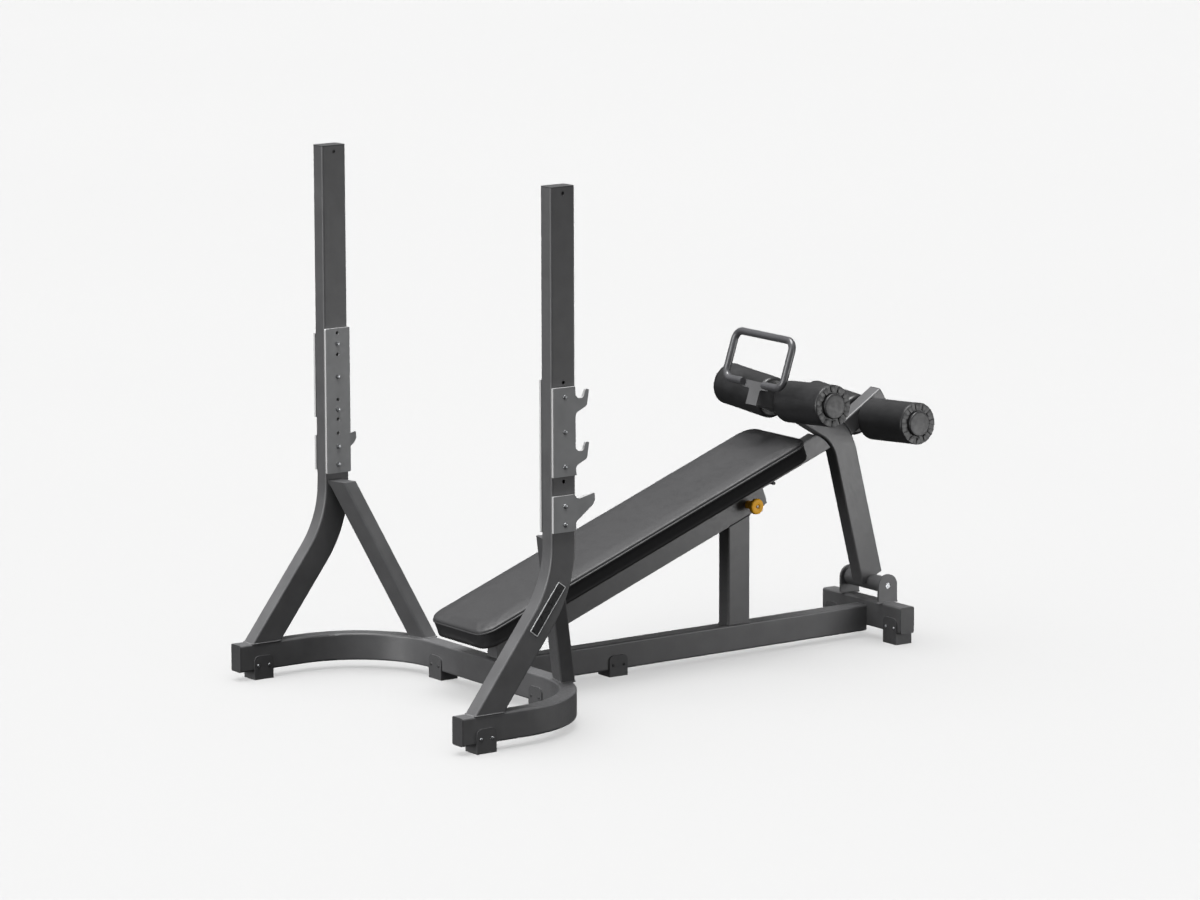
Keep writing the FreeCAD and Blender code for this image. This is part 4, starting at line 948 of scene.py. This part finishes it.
@dataclass
class Steelwork:
    """The welded base, uprights, braces, beam and post, with their weld beads and end caps."""

    datum: Datum
    nodes: dict[str, bpy.types.Object]
    bead: Rule
    weld_radius: float = 2.2
    weld_pitch: float = 3.2
    painted: tuple[str, ...] = ("base_u_tube", "base_rail", "rear_crossbar", "upright_left", "upright_right",
                                "brace_left", "brace_right", "sloping_beam", "post", "hinge_plate_left",
                                "hinge_plate_right")
    capped: tuple[str, ...] = ("base_end_caps", "rear_end_caps", "upright_caps")
    base_top: float = 106
    rail_top: float = 99
    bar_top: float = 115
    upright_inside: float = 550

    def build(self) -> None:
        """Dresses the steel and lays the welds."""
        dress(self.nodes, self.painted, FRAME_PAINT)
        dress(self.nodes, self.capped, CAP_PLASTIC)
        self.welds()

    def welds(self) -> None:
        """Rippled beads where tube ends meet the tubes that carry them."""
        up = Vector((0, 0, 1))
        beam_up = self.datum.beam_matrix().to_3x3() @ up
        level = self.datum.point(0, 0, self.base_top)
        loops = [seam_loop(self.nodes[name], level, up)
                 for name in ("upright_left", "upright_right", "brace_left", "brace_right")]
        loops += [seam_loop(self.nodes["brace_" + side], Vector((sign * self.upright_inside * MM, 0, 0)),
                            Vector((1, 0, 0))) for side, sign in SIDES.items()]
        loops.append(seam_loop(self.nodes["post"], self.datum.point(0, 0, self.rail_top), up))
        loops.append(seam_loop(self.nodes["post"], self.datum.beam_matrix().translation, beam_up))
        loops += [seam_loop(self.nodes["hinge_plate_" + side], self.datum.point(0, 0, self.bar_top), up)
                  for side in SIDES]
        chains = edge_chains("frame_weld_lines", [loop for loop in loops if len(loop) > 2])
        welds = self.bead.made("frame_welds", chains, FRAME_PAINT, Radius=self.weld_radius * MM,
                               Pitch=self.weld_pitch * MM, Ripple=0.16)
        settle(welds, None, "frame")


@dataclass
class RackPlates:
    """The hook, catch and guard plates on the uprights, with their screws and the blank plate."""

    datum: Datum
    nodes: dict[str, bpy.types.Object]
    screw: Rule
    nut: Rule
    plate_outside: float = 608
    plate_inside: float = 542
    screw_line: float = 40
    heights: tuple[float, ...] = (961.5, 864.5, 767.5, 658, 606)
    head: float = 13
    rise: float = 3.2
    socket: float = 2.8
    nut_across: float = 14
    nut_rise: float = 3.4
    thread: float = 3.6
    badge_size: tuple[float, float] = (30, 160)
    badge_corner: float = 3
    badge_border: float = 2.2
    badge_lean: float = 37  # degrees by which the swept tube leans there

    def build(self) -> None:
        """Dresses the plates, sets the screws and nuts and fits the blank plate."""
        names = [f"{kind}_{side}" for kind in ("inner_plate", "hook_plate", "safety_catch") for side in SIDES]
        dress(self.nodes, names, PLATE_PAINT)
        outer, inner = [], []
        for sign in SIDES.values():
            for height in self.heights:
                outer.append((self.datum.point(sign * self.plate_outside, self.screw_line, height),
                              Vector((sign, 0, 0))))
                inner.append((self.datum.point(sign * self.plate_inside, self.screw_line, height),
                              Vector((-sign, 0, 0))))
        heads = self.screw.made("rack_screw_heads", facing_points("rack_screw_spots", outer), ZINC,
                                Head=self.head * MM, Rise=self.rise * MM, Recess=self.socket * MM)
        settle(heads, None, "frame", ["plate_bolts"])
        nuts = self.nut.made("rack_nuts", facing_points("rack_nut_spots", inner), ZINC, 0.5,
                             Head=self.nut_across * MM, Rise=self.nut_rise * MM, Recess=self.thread * MM)
        settle(nuts, None, "frame")
        self.badge()

    def badge(self) -> None:
        """A blank enamelled plate with a raised bright rim, in line with the sweep."""
        corners = [v.co for v in self.nodes["name_plate"].data.vertices]
        outside = max(c.x for c in corners)
        flat = [c for c in corners if c.x > outside - 0.2 * MM]
        middle = sum(flat, Vector()) / len(flat)
        sweep = math.radians(self.badge_lean)
        along = Vector((0, math.sin(sweep), math.cos(sweep)))
        across = Vector((1, 0, 0)).cross(along)
        half_wide, half_long = self.badge_size[0] / 2, self.badge_size[1] / 2

        def ring(inset: float, corner: float) -> list[tuple[float, float]]:
            """The plate's outline, so many millimetres in from its edge."""
            return rounded_outline((half_wide - inset) * MM, (half_long - inset) * MM, corner * MM, 6)

        edge, inside = ring(0, self.badge_corner), ring(self.badge_border, self.badge_corner - 1)
        levels = [(edge, -1.0), (edge, 0.3), (ring(0.4, self.badge_corner - 0.3), 0.7), (inside, 0.7),
                  (inside, 0.2)]
        count = len(levels[0][0])
        points = [middle + across * u + along * v + Vector((h * MM, 0, 0))
                  for outline, h in levels for u, v in outline]
        faces = ring_faces(count, len(levels), True)
        mesh = mesh_from("blank_plate", points, faces, 30)
        plate = linked("blank_plate", mesh)
        settle(plate, None, "frame", ["name_plate"])
        mesh.materials.append(BADGE_RIM.material())
        mesh.materials.append(ENAMEL.material())
        for face in mesh.polygons:
            face.material_index = 1 if len(face.vertices) == count and face.center.x > middle.x else 0


@dataclass
class Pad:
    """The sloping back pad: board, foam cushion in vinyl and the welt sewn round it."""

    datum: Datum
    nodes: dict[str, bpy.types.Object]
    bead: Rule
    start: float = 140
    end: float = 1390
    half_width: float = 150
    corner: float = 55
    seat: float = 112
    thickness: float = 59
    crown: float = 3.5
    crown_shares: tuple[float, ...] = (0.75, 0.45, 0.15)
    end_margin: float = 60
    voxel: float = 6
    quick_voxel: float = 10
    glued: float = 6
    fill_frames: int = 20
    swell_cap: float = 2.5
    pressure: float = 4
    uneven: float = 0.5
    uneven_pitch: float = 1000 / 14
    uneven_from: float = 40
    welt_drop: float = 12
    welt_radius: float = 3.2
    welt_reach: float = 20
    welt_step: float = 8

    def levels(self) -> list[tuple[float, float]]:
        """How far each level of the cushion's wall stands in from its plan, and its height."""
        return [(11, -0.6), (6.5, 1.5), (5, 5), (4.2, 12), (3.5, 28), (3.2, 44), (3.4, 51), (4.2, 55),
                (6.2, 57.6), (10, 58.6)]

    def cushion_mesh(self) -> bpy.types.Mesh:
        """Makes the cushion before it is filled.

        Returns:
            Its closed shell, in the beam's own frame.
        """
        middle, half_long = (self.start + self.end) / 2, (self.end - self.start) / 2
        rings = []
        for inset, height in self.levels():
            loop = rounded_outline(self.half_width - inset, half_long - inset, self.corner - inset, 10)
            rings.append([(u, v + middle, self.seat + height) for u, v in loop])
        rim = rings[-1]
        for share in self.crown_shares:
            lift = self.seat + self.thickness + self.crown * (1 - share ** 2)
            drawn_in = 1 - 2 * self.end_margin * (1 - share) / half_long if share > 0.5 else share
            rings.append([(u * share, (v - middle) * drawn_in + middle, lift) for u, v, _ in rim])
        points = [Vector(p) * MM for ring in rings for p in ring]
        return mesh_from("pad_shell", points, ring_faces(len(rings[0]), len(rings), True))

    def filled(self, shell: bpy.types.Mesh) -> bpy.types.Object:
        """Blows the shell up a little as its foam does, held flat where it rests on the board.

        Args:
            shell: The cushion before it is filled.

        Returns:
            The cushion, with its cloth result applied, in the beam's own frame.
        """
        cushion = linked("pad_cushion_vinyl", shell)
        remesh = cushion.modifiers.new("even", "REMESH")
        remesh.mode = "VOXEL"
        remesh.voxel_size = self.voxel * MM
        self.keep_evaluated(cushion)
        rest = [v.co.copy() for v in cushion.data.vertices]
        held = cushion.vertex_groups.new(name="held")
        low = (self.seat + self.glued) * MM
        held.add([v.index for v in cushion.data.vertices if v.co.z < low], 1.0, "REPLACE")
        cloth = cushion.modifiers.new("fill", "CLOTH")
        settings = cloth.settings
        settings.use_pressure = True
        settings.uniform_pressure_force = self.pressure
        settings.tension_stiffness = settings.compression_stiffness = 25
        settings.vertex_group_mass = "held"
        settings.effector_weights.gravity = 0
        cloth.point_cache.frame_start, cloth.point_cache.frame_end = 1, self.fill_frames
        for frame_number in range(1, self.fill_frames + 1):
            bpy.context.scene.frame_set(frame_number)
        self.keep_evaluated(cushion)
        bpy.context.scene.frame_set(1)
        for vertex, home in zip(cushion.data.vertices, rest):
            moved = vertex.co - home
            if moved.length > self.swell_cap * MM:
                vertex.co = home + moved.normalized() * self.swell_cap * MM
            if home.z > (self.seat + self.uneven_from) * MM:
                vertex.co.z += self.uneven * MM * noise.noise(home * per(self.uneven_pitch))
        smooth = cushion.modifiers.new("smooth", "SUBSURF")
        smooth.levels = smooth.render_levels = 1
        self.keep_evaluated(cushion)
        return cushion

    @staticmethod
    def keep_evaluated(obj: bpy.types.Object) -> None:
        """Replaces an object's mesh by what its modifiers make of it.

        Args:
            obj: The object, which keeps no modifiers or groups.
        """
        bpy.context.view_layer.update()
        graph = bpy.context.evaluated_depsgraph_get()
        mesh = bpy.data.meshes.new_from_object(obj.evaluated_get(graph))
        obj.modifiers.clear()
        obj.vertex_groups.clear()
        obj.data = mesh

    def welt(self, cushion: bpy.types.Object) -> bpy.types.Object:
        """The double-sewn welt that runs round the wall just below the top.

        Args:
            cushion: The finished cushion in the beam's own frame.

        Returns:
            The welt, in the same frame.
        """
        tree = BVHTree.FromObject(cushion, bpy.context.evaluated_depsgraph_get())
        middle, half_long = (self.start + self.end) / 2, (self.end - self.start) / 2
        height = self.seat + self.thickness - self.welt_drop
        path = []
        away = self.welt_reach
        around = rounded_outline(self.half_width + away, half_long + away, self.corner + away, 16)
        for u, v in resampled(around, self.welt_step):
            outside = Vector((u, v + middle, height)) * MM
            inner_u = max(-self.half_width + self.corner, min(self.half_width - self.corner, u))
            inner_v = max(-half_long + self.corner, min(half_long - self.corner, v))
            target = Vector((inner_u, inner_v + middle, height)) * MM
            hit = tree.ray_cast(outside, (target - outside).normalized())[0]
            path.append(hit if hit is not None else target)
        count = len(path)
        path = [sum((path[(i + k) % count] for k in (-2, -1, 0, 1, 2)), Vector()) / 5 for i in range(count)]
        return self.bead.made("pad_welt", edge_chains("welt_line", [path]), VINYL,
                              Radius=self.welt_radius * MM, Pitch=12 * MM, Ripple=0.0)

    def build(self) -> bpy.types.Object:
        """Makes the cushion and its welt and dresses the board and bolts.

        Returns:
            The finished cushion.
        """
        dress(self.nodes, ["pad_board"], BOARD)
        dress(self.nodes, ["pad_bolts"], ZINC)
        cushion = self.filled(self.cushion_mesh())
        welt = self.welt(cushion)
        to_frame = self.datum.beam_matrix()
        for piece in (cushion, welt):
            piece.data.transform(to_frame)
            piece.data.polygons.foreach_set("use_smooth", [True] * len(piece.data.polygons))
            piece.data.update()
        settle(cushion, VINYL, "frame", ["pad_cushion"])
        settle(welt, VINYL, "frame")
        return cushion


@dataclass
class SlideLock:
    """The sliding tube in the beam and the orange pull knob that locks it."""

    datum: Datum
    nodes: dict[str, bpy.types.Object]
    screw: Rule
    station: float = 1192
    perp: float = 31
    plunger_start: float = 5.4
    knob_start: float = 55.5
    knob_radius: float = 23.5
    knob_thickness: float = 16
    lobes: int = 10
    collar_start: float = 25
    collar_length: float = 30
    collar_radius: float = 12
    collar_bore: float = 5.4

    def build(self) -> None:
        """Dresses the slide and makes the knob, its plunger and its screw."""
        dress(self.nodes, ["slide_tube", "slide_pin"], FRAME_PAINT)
        dress(self.nodes, ["locking_tongue"], DRAWN_STEEL)
        dress(self.nodes, ["beam_guide"], GUIDE_PLASTIC)
        dress(self.nodes, ["slide_stop"], FOOT_RUBBER)
        centre = self.datum.beam_matrix() @ (Vector((0, self.station, self.perp)) * MM)
        place = axis_matrix(centre, Vector((1, 0, 0)))
        start, radius, thick = self.knob_start, self.knob_radius, self.knob_thickness
        profile = [(0, start), (9, start), (9.5, start + 0.8), (11, start + 1.6), (radius - 5, start + 1.6)]
        profile += arc((radius - 4, start + 5.6), 4, -90, 0)
        profile += arc((radius - 5, start + thick - 5), 5, 0, 75)
        profile += [(radius - 9, start + thick - 0.2), (9, start + thick), (7.5, start + thick - 0.6),
                    (6.5, start + thick - 2.2), (0, start + thick - 2.2)]
        knob = linked("pull_knob_grip", spun("pull_knob_grip", profile, place, 120, 40))
        inverse = place.inverted()
        for vertex in knob.data.vertices:
            local = inverse @ vertex.co
            flat = Vector((local.x, local.y))
            if flat.length > (radius - 8) * MM:
                angle = math.atan2(flat.y, flat.x)
                share = (flat.length / MM - (radius - 8)) / 8
                flat *= 1 - 0.035 * share * (1 - math.cos(self.lobes * angle)) / 2
                vertex.co = place @ Vector((flat.x, flat.y, local.z))
        settle(knob, ORANGE_PLASTIC, "pull_knob", ["pull_knob"])
        root, tip, bore = self.collar_start, self.collar_start + self.collar_length, self.collar_bore
        sleeve = [(bore, root), (self.collar_radius, root), (self.collar_radius, root + 9),
                  (self.collar_radius - 0.8, root + 9.6), (self.collar_radius - 0.8, tip - 2)]
        sleeve += arc((self.collar_radius - 2.8, tip - 2), 2, 0, 90) + [(bore, tip), (bore, root)]
        collar = linked("pull_pin_collar", spun("pull_pin_collar", sleeve, place, 64))
        settle(collar, ORANGE_PLASTIC, "frame", ["pull_pin_housing"])
        shaft = [(0, self.plunger_start), (3.6, self.plunger_start), (5, self.plunger_start + 2.4),
                 (5, start - 2), (4.4, start - 1.4), (4.4, start + 0.4), (0, start + 0.4)]
        plunger = linked("pull_pin_plunger", spun("pull_pin_plunger", shaft, place, 40))
        settle(plunger, DRAWN_STEEL, "pull_knob")
        tip = place @ Vector((0, 0, (start + thick - 2.2) * MM))
        spot = facing_points("knob_screw_spot", [(tip, Vector((1, 0, 0)))])
        screw = self.screw.made("knob_screw", spot, ZINC, Head=10 * MM, Rise=2 * MM, Recess=5.5 * MM)
        settle(screw, None, "pull_knob")


@dataclass
class LegSupport:
    """The hinged leg: its bent tube, arm, barrel, lug, bracket, handle and axles."""

    nodes: dict[str, bpy.types.Object]
    body: str = "leg_support"

    def build(self) -> None:
        """Dresses every part of the leg."""
        dress(self.nodes, ["leg_tube", "rear_arm", "leg_barrel", "leg_lug", "front_bracket"], FRAME_PAINT)
        dress(self.nodes, ["handle_loop"], HANDLE_PAINT)
        dress(self.nodes, ["rear_arm_cap"], CAP_PLASTIC)
        dress(self.nodes, ["front_axles", "rear_axle", "hinge_pin"], DRAWN_STEEL)
        dress(self.nodes, ["hinge_bushes"], GUIDE_PLASTIC)


@dataclass
class Roller:
    """One foam roller with its ribbed end rings and domed hub."""

    datum: Datum
    rib: Rule
    row: str
    side: str
    reach: float
    height: float
    tilt: float = 4
    inner: float = 33
    outer: float = 254
    radius: float = 61.9
    ring: float = 6
    hub: float = 37.5
    hub_rise: float = 8
    bore: float = 10.1
    ribs: int = 12
    rib_width: float = 15
    rib_rise: float = 5.2

    def place(self) -> Matrix:
        """Takes local +Z outward along the roller's axle."""
        sign, lean = SIDES[self.side], math.radians(self.tilt)
        return axis_matrix(self.datum.point(0, self.reach, self.height),
                           Vector((sign * math.cos(lean), 0, math.sin(lean))))

    def build(self) -> None:
        """Makes the foam, the rings and the ribs."""
        name, body = f"{self.row}_{self.side}", f"{self.row}_{self.side}_roller"
        place = self.place()
        low, high, radius = self.inner + self.ring, self.outer - self.ring, self.radius
        profile = [(self.bore, low - 3), (30, low - 4), (44, low - 3.2)]
        profile += arc((radius - 12, low + 9), 12, -90, 0, 8)
        profile += [(radius + 0.2 * math.sin(i), low + 20 + i * (high - low - 32) / 7) for i in range(8)]
        profile += arc((radius - 5, high - 5), 5, 0, 80, 5) + [(40, high), (self.bore, high)]
        foam = spun(name + "_foam_sleeve", profile + [profile[0]], place, 96)
        foam_piece = linked(name + "_foam_sleeve", foam)
        settle(foam_piece, FOAM_SKIN, body, [name + "_roller_foam"])

        end, hub = self.outer, self.hub
        face = [(0, high - 1), (radius - 1, high - 1), (radius + 0.2, high), (radius + 0.2, end - 3.5),
                (radius - 1.2, end - 2.2), (radius - 4, end - 2.4), (hub + 6, end - 3.4),
                (hub + 1.6, end - 3.6), (hub + 1.0, end - 5), (hub, end - 5), (hub, end + self.hub_rise - 5)]
        face += arc((hub - 3.5, end + self.hub_rise - 4.5), 3.5, 0, 70, 5)
        face += [(hub * k, end + self.hub_rise - 1.1 + 1.1 * (1 - k * k)) for k in (0.8, 0.6, 0.4, 0.2)]
        face += [(0, end + self.hub_rise)]
        cap = linked(name + "_end_cap", spun(name + "_end_cap", face, place, 96))
        settle(cap, RING_PLASTIC, body, [name + "_roller_caps"])
        washer = [(self.bore, self.inner), (26, self.inner), (28, self.inner + 1), (30, low - 3.4),
                  (self.bore, low - 2.8)]
        disc = linked(name + "_inner_cap", spun(name + "_inner_cap", washer + [washer[0]], place, 64))
        settle(disc, RING_PLASTIC, body)
        outward = (place.to_3x3() @ Vector((0, 0, 1))).normalized()
        spot = place @ Vector((0, 0, (end - 2.6) * MM))
        ribs = self.rib.made(
            name + "_cap_ribs", facing_points(name + "_rib_spot", [(spot, outward)]), RING_PLASTIC, 0.9,
            Count=self.ribs, Inner=(hub + 4) * MM, Outer=(radius - 0.8) * MM, Width=self.rib_width * MM,
            Rise=self.rib_rise * MM)
        settle(ribs, None, body)


@dataclass
class Feet:
    """The rubber saddles under the base and the screws in their flaps."""

    datum: Datum
    nodes: dict[str, bpy.types.Object]
    screw: Rule
    flap_outside: float = 29
    spread: float = 19
    screw_rise: float = 15
    head: float = 9
    rise: float = 2.6
    recess: float = 5.4
    bright: tuple[tuple[str, float, float, float, bool], ...] = (
        ("front_foot", 575, -222, 26, False), ("rear_foot", 141, 1575, 35, True))
    dark: tuple[tuple[str, float, float, float, bool], ...] = (("corner_foot", 255, 208, 26, True),)
    middle: tuple[float, float] = (632, 19)

    def build(self) -> None:
        """Dresses the saddles and sets four screws in each."""
        names = [f"{kind}_{side}" for kind, *_ in self.bright + self.dark for side in SIDES] + ["middle_foot"]
        dress(self.nodes, names, FOOT_RUBBER)
        shown = self.row(self.bright)
        hidden = self.row(self.dark) + self.saddle(0, *self.middle, False)
        for name, places, finish, stands_for in (("foot_screw_heads", shown, ZINC, ["foot_screws"]),
                                                 ("inner_foot_screw_heads", hidden, BLACK_OXIDE, [])):
            screws = self.screw.made(name, facing_points(name + "_spots", places), finish,
                                     Head=self.head * MM, Rise=self.rise * MM, Recess=self.recess * MM)
            settle(screws, None, "frame", stands_for)

    def row(self, spots: Sequence[tuple[str, float, float, float, bool]]) -> list[tuple[Vector, Vector]]:
        """Where the screws of some pairs of saddles sit, with their directions."""
        return [screw for _, x, y, gap, along_x in spots for sign in SIDES.values()
                for screw in self.saddle(sign * x, y, gap, along_x)]

    def saddle(self, x: float, y: float, gap: float, along_x: bool) -> list[tuple[Vector, Vector]]:
        """Where one saddle's screws sit.

        Args:
            x: The saddle's middle across the bench.
            y: The saddle's middle along the bench.
            gap: How high its tube runs over the floor.
            along_x: Whether the tube runs across the bench.

        Returns:
            Place and direction of each screw.
        """
        found = []
        for along in (-self.spread, self.spread):
            for sign in (-1, 1):
                shift = (along, sign * self.flap_outside) if along_x else (sign * self.flap_outside, along)
                way = Vector((0, sign, 0)) if along_x else Vector((sign, 0, 0))
                found.append((self.datum.point(x + shift[0], y + shift[1], gap + self.screw_rise), way))
        return found


@dataclass
class Studio:
    """A pale floor, soft light and the camera."""

    unlit: tuple[bpy.types.Object, ...] = ()
    target: Vector = field(default_factory=lambda: Vector((0, -0.1631, 0.678)))
    azimuth: float = 54.9
    elevation: float = 10.2
    roll: float = -0.2
    distance: float = 15.5731
    lens: float = 162.45
    shift: float = 0.02075
    wall_tone: float = 0.92
    sky_low: float = 0.04
    sky_high: float = 0.3

    def build(self) -> None:
        """Sets the stage."""
        scene = bpy.context.scene
        scene.view_settings.view_transform = "Standard"
        floor = self.floor()
        self.world(scene)
        only_floor = bpy.data.collections.new("lit_floor_only")
        only_floor.objects.link(floor)
        not_floor = bpy.data.collections.new("lit_all_but_floor")
        not_floor.objects.link(floor)
        not_floor.collection_objects[0].light_linking.link_state = "EXCLUDE"
        self.sun("key", Vector((0, -0.1, 1)), 6.6, 40, True, not_floor)
        self.sun("front_fill", Vector((0, -1, 0.15)), 3.1, 40, True, not_floor)
        self.sun("back_fill", Vector((-0.8, 1, 0.12)), 2.2, 60, True, not_floor, False)
        self.sun("floor_wash", Vector((0, 0, 1)), 3.56, 30, False, only_floor)
        self.sun("floor_soft", Vector((-0.1, -0.2, 1)), 1.4, 110, True, only_floor)
        side_lit = bpy.data.collections.new("lit_by_side_box")
        for unlit in [floor] + list(self.unlit):
            side_lit.objects.link(unlit)
        for item in side_lit.collection_objects:
            item.light_linking.link_state = "EXCLUDE"
        self.side_box(side_lit)
        self.camera(scene)

    def floor(self) -> bpy.types.Object:
        """Lays a plain pale floor, with its backdrop.

        Returns:
            The floor.
        """
        half = 60.0
        mesh = bpy.data.meshes.new("floor")
        corners = [(-half, -half, 0), (half, -half, 0), (half, half, 0), (-half, half, 0)]
        mesh.from_pydata(corners, [], [(0, 1, 2, 3)])
        floor = linked("floor", mesh)
        paint = bpy.data.materials.new("pale_studio_floor")
        paint.use_nodes = True
        tree = paint.node_tree
        tree.nodes.clear()
        places = add_node(tree, "ShaderNodeTexCoord")
        cloud = add_node(tree, "ShaderNodeTexNoise", {"Vector": places.outputs["Object"], "Scale": per(4000)})
        tone = add_node(tree, "ShaderNodeMapRange", {
            "Value": cloud.outputs["Fac"], "To Min": 0.495, "To Max": 0.505})
        shader = add_node(tree, "ShaderNodeBsdfDiffuse", {"Color": tone.outputs["Result"]})
        add_node(tree, "ShaderNodeOutputMaterial", {"Surface": shader.outputs[0]})
        mesh.materials.append(paint)
        floor.visible_diffuse = floor.visible_glossy = False
        self.backdrop(half)
        return floor

    def backdrop(self, reach: float) -> None:
        """A pale wall round the floor that views near the horizon see, and that lights nothing.

        Args:
            reach: The floor's half width in metres, which is the wall's radius too.
        """
        sides, height = 64, 40.0
        ring = [(reach * math.cos(2 * math.pi * k / sides), reach * math.sin(2 * math.pi * k / sides))
                for k in range(sides)]
        mesh = bpy.data.meshes.new("backdrop")
        mesh.from_pydata([(x, y, z) for z in (-0.01, height) for x, y in ring], [],
                         [((k + 1) % sides, k, sides + k, sides + (k + 1) % sides) for k in range(sides)])
        wall = linked("backdrop", mesh)
        paint = bpy.data.materials.new("pale_studio_wall")
        paint.use_nodes = True
        tree = paint.node_tree
        tree.nodes.clear()
        glow = add_node(tree, "ShaderNodeEmission", {
            "Color": (self.wall_tone,) * 3 + (1.0,), "Strength": 1.0})
        add_node(tree, "ShaderNodeOutputMaterial", {"Surface": glow.outputs[0]})
        mesh.materials.append(paint)
        wall.visible_diffuse = wall.visible_glossy = wall.visible_shadow = False

    def world(self, scene: bpy.types.Scene) -> None:
        """Sets soft light from overhead that fades towards the floor.

        Args:
            scene: The scene that it lights.
        """
        world = bpy.data.worlds.new("studio")
        world.use_nodes = True
        scene.world = world
        tree = world.node_tree
        way = add_node(tree, "ShaderNodeTexCoord")
        height = add_node(tree, "ShaderNodeSeparateXYZ", {0: way.outputs["Generated"]})
        glow = add_node(tree, "ShaderNodeMapRange", {
            "Value": height.outputs["Z"], "From Min": -0.25, "From Max": 0.6, "To Min": self.sky_low,
            "To Max": self.sky_high})
        tree.links.new(glow.outputs["Result"], tree.nodes["Background"].inputs["Strength"])
        tree.nodes["Background"].inputs["Color"].default_value = (1, 1, 1, 1)

    def sun(
        self, name: str, toward: Vector, strength: float, width: float, shadow: bool,
        receivers: bpy.types.Collection, shine: bool = True
    ) -> None:
        """Adds one broad lamp.

        Args:
            name: The lamp's name.
            toward: The way to the lamp from the object.
            strength: Its strength.
            width: How broad it looks, in degrees.
            shadow: Whether it casts shadows.
            receivers: What it lights.
            shine: Whether it shows in gloss.
        """
        data = bpy.data.lights.new(name, "SUN")
        data.energy, data.angle, data.use_shadow = strength, math.radians(width), shadow
        lamp = bpy.data.objects.new(name, data)
        lamp.rotation_mode = "QUATERNION"
        lamp.rotation_quaternion = toward.normalized().to_track_quat("Z", "Y")
        bpy.context.scene.collection.objects.link(lamp)
        lamp.light_linking.receiver_collection = receivers
        lamp.visible_glossy = shine

    def side_box(self, receivers: bpy.types.Collection) -> None:
        """Sets a low soft box beside the leg support, which the steel's right-hand faces mirror.

        Args:
            receivers: What it lights, or leaves out where the collection says so.
        """
        data = bpy.data.lights.new("side_box", "AREA")
        data.shape, data.size, data.size_y, data.energy = "RECTANGLE", 1.6, 1.0, 31
        lamp = bpy.data.objects.new("side_box", data)
        lamp.location = (1.9, 1.9, 0.35)
        lamp.rotation_mode = "QUATERNION"
        lamp.rotation_quaternion = (lamp.location - Vector((0, 0.4, 0.4))).to_track_quat("Z", "Y")
        bpy.context.scene.collection.objects.link(lamp)
        lamp.light_linking.receiver_collection = receivers

    def camera(self, scene: bpy.types.Scene) -> None:
        """Sets a long lens that looks over the right-hand upright.

        Args:
            scene: The scene that gets the camera.
        """
        a, e = math.radians(self.azimuth), math.radians(self.elevation)
        back = Vector((math.sin(a) * math.cos(e), -math.cos(a) * math.cos(e), math.sin(e)))
        data = bpy.data.cameras.new("camera")
        data.lens, data.shift_x = self.lens, self.shift
        data.clip_start, data.clip_end = 0.5, 100.0
        camera = bpy.data.objects.new("camera", data)
        camera.rotation_mode = "QUATERNION"
        camera.location = self.target + back * self.distance
        turn = Quaternion((0, 0, 1), math.radians(self.roll))
        camera.rotation_quaternion = (-back).to_track_quat("-Z", "Y") @ turn
        scene.collection.objects.link(camera)
        scene.camera = camera


def main() -> None:
    """Loads the frame and builds every sub-assembly round it."""
    logging.basicConfig(level=logging.INFO, format="%(name)s: %(message)s")
    for obj in list(bpy.data.objects):
        bpy.data.objects.remove(obj)
    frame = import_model()
    nodes = frame["nodes"]
    datum = Datum.read()
    bead = bead_rule()
    cross = fastener_rule(Drive.CROSS)
    Steelwork(datum, nodes, bead).build()
    RackPlates(datum, nodes, fastener_rule(Drive.SOCKET), fastener_rule(Drive.NUT)).build()
    cushion = Pad(datum, nodes, bead).build()
    SlideLock(datum, nodes, cross).build()
    LegSupport(nodes).build()
    rib = rib_rule()
    for row, reach, height in (("front", 1243.7, 747.4), ("rear", 1560.0, 663.0)):
        for side in SIDES:
            Roller(datum, rib, row, side, reach, height).build()
    Feet(datum, nodes, cross).build()
    Studio(unlit=(cushion,)).build()


if __name__ == "__main__":
    main()
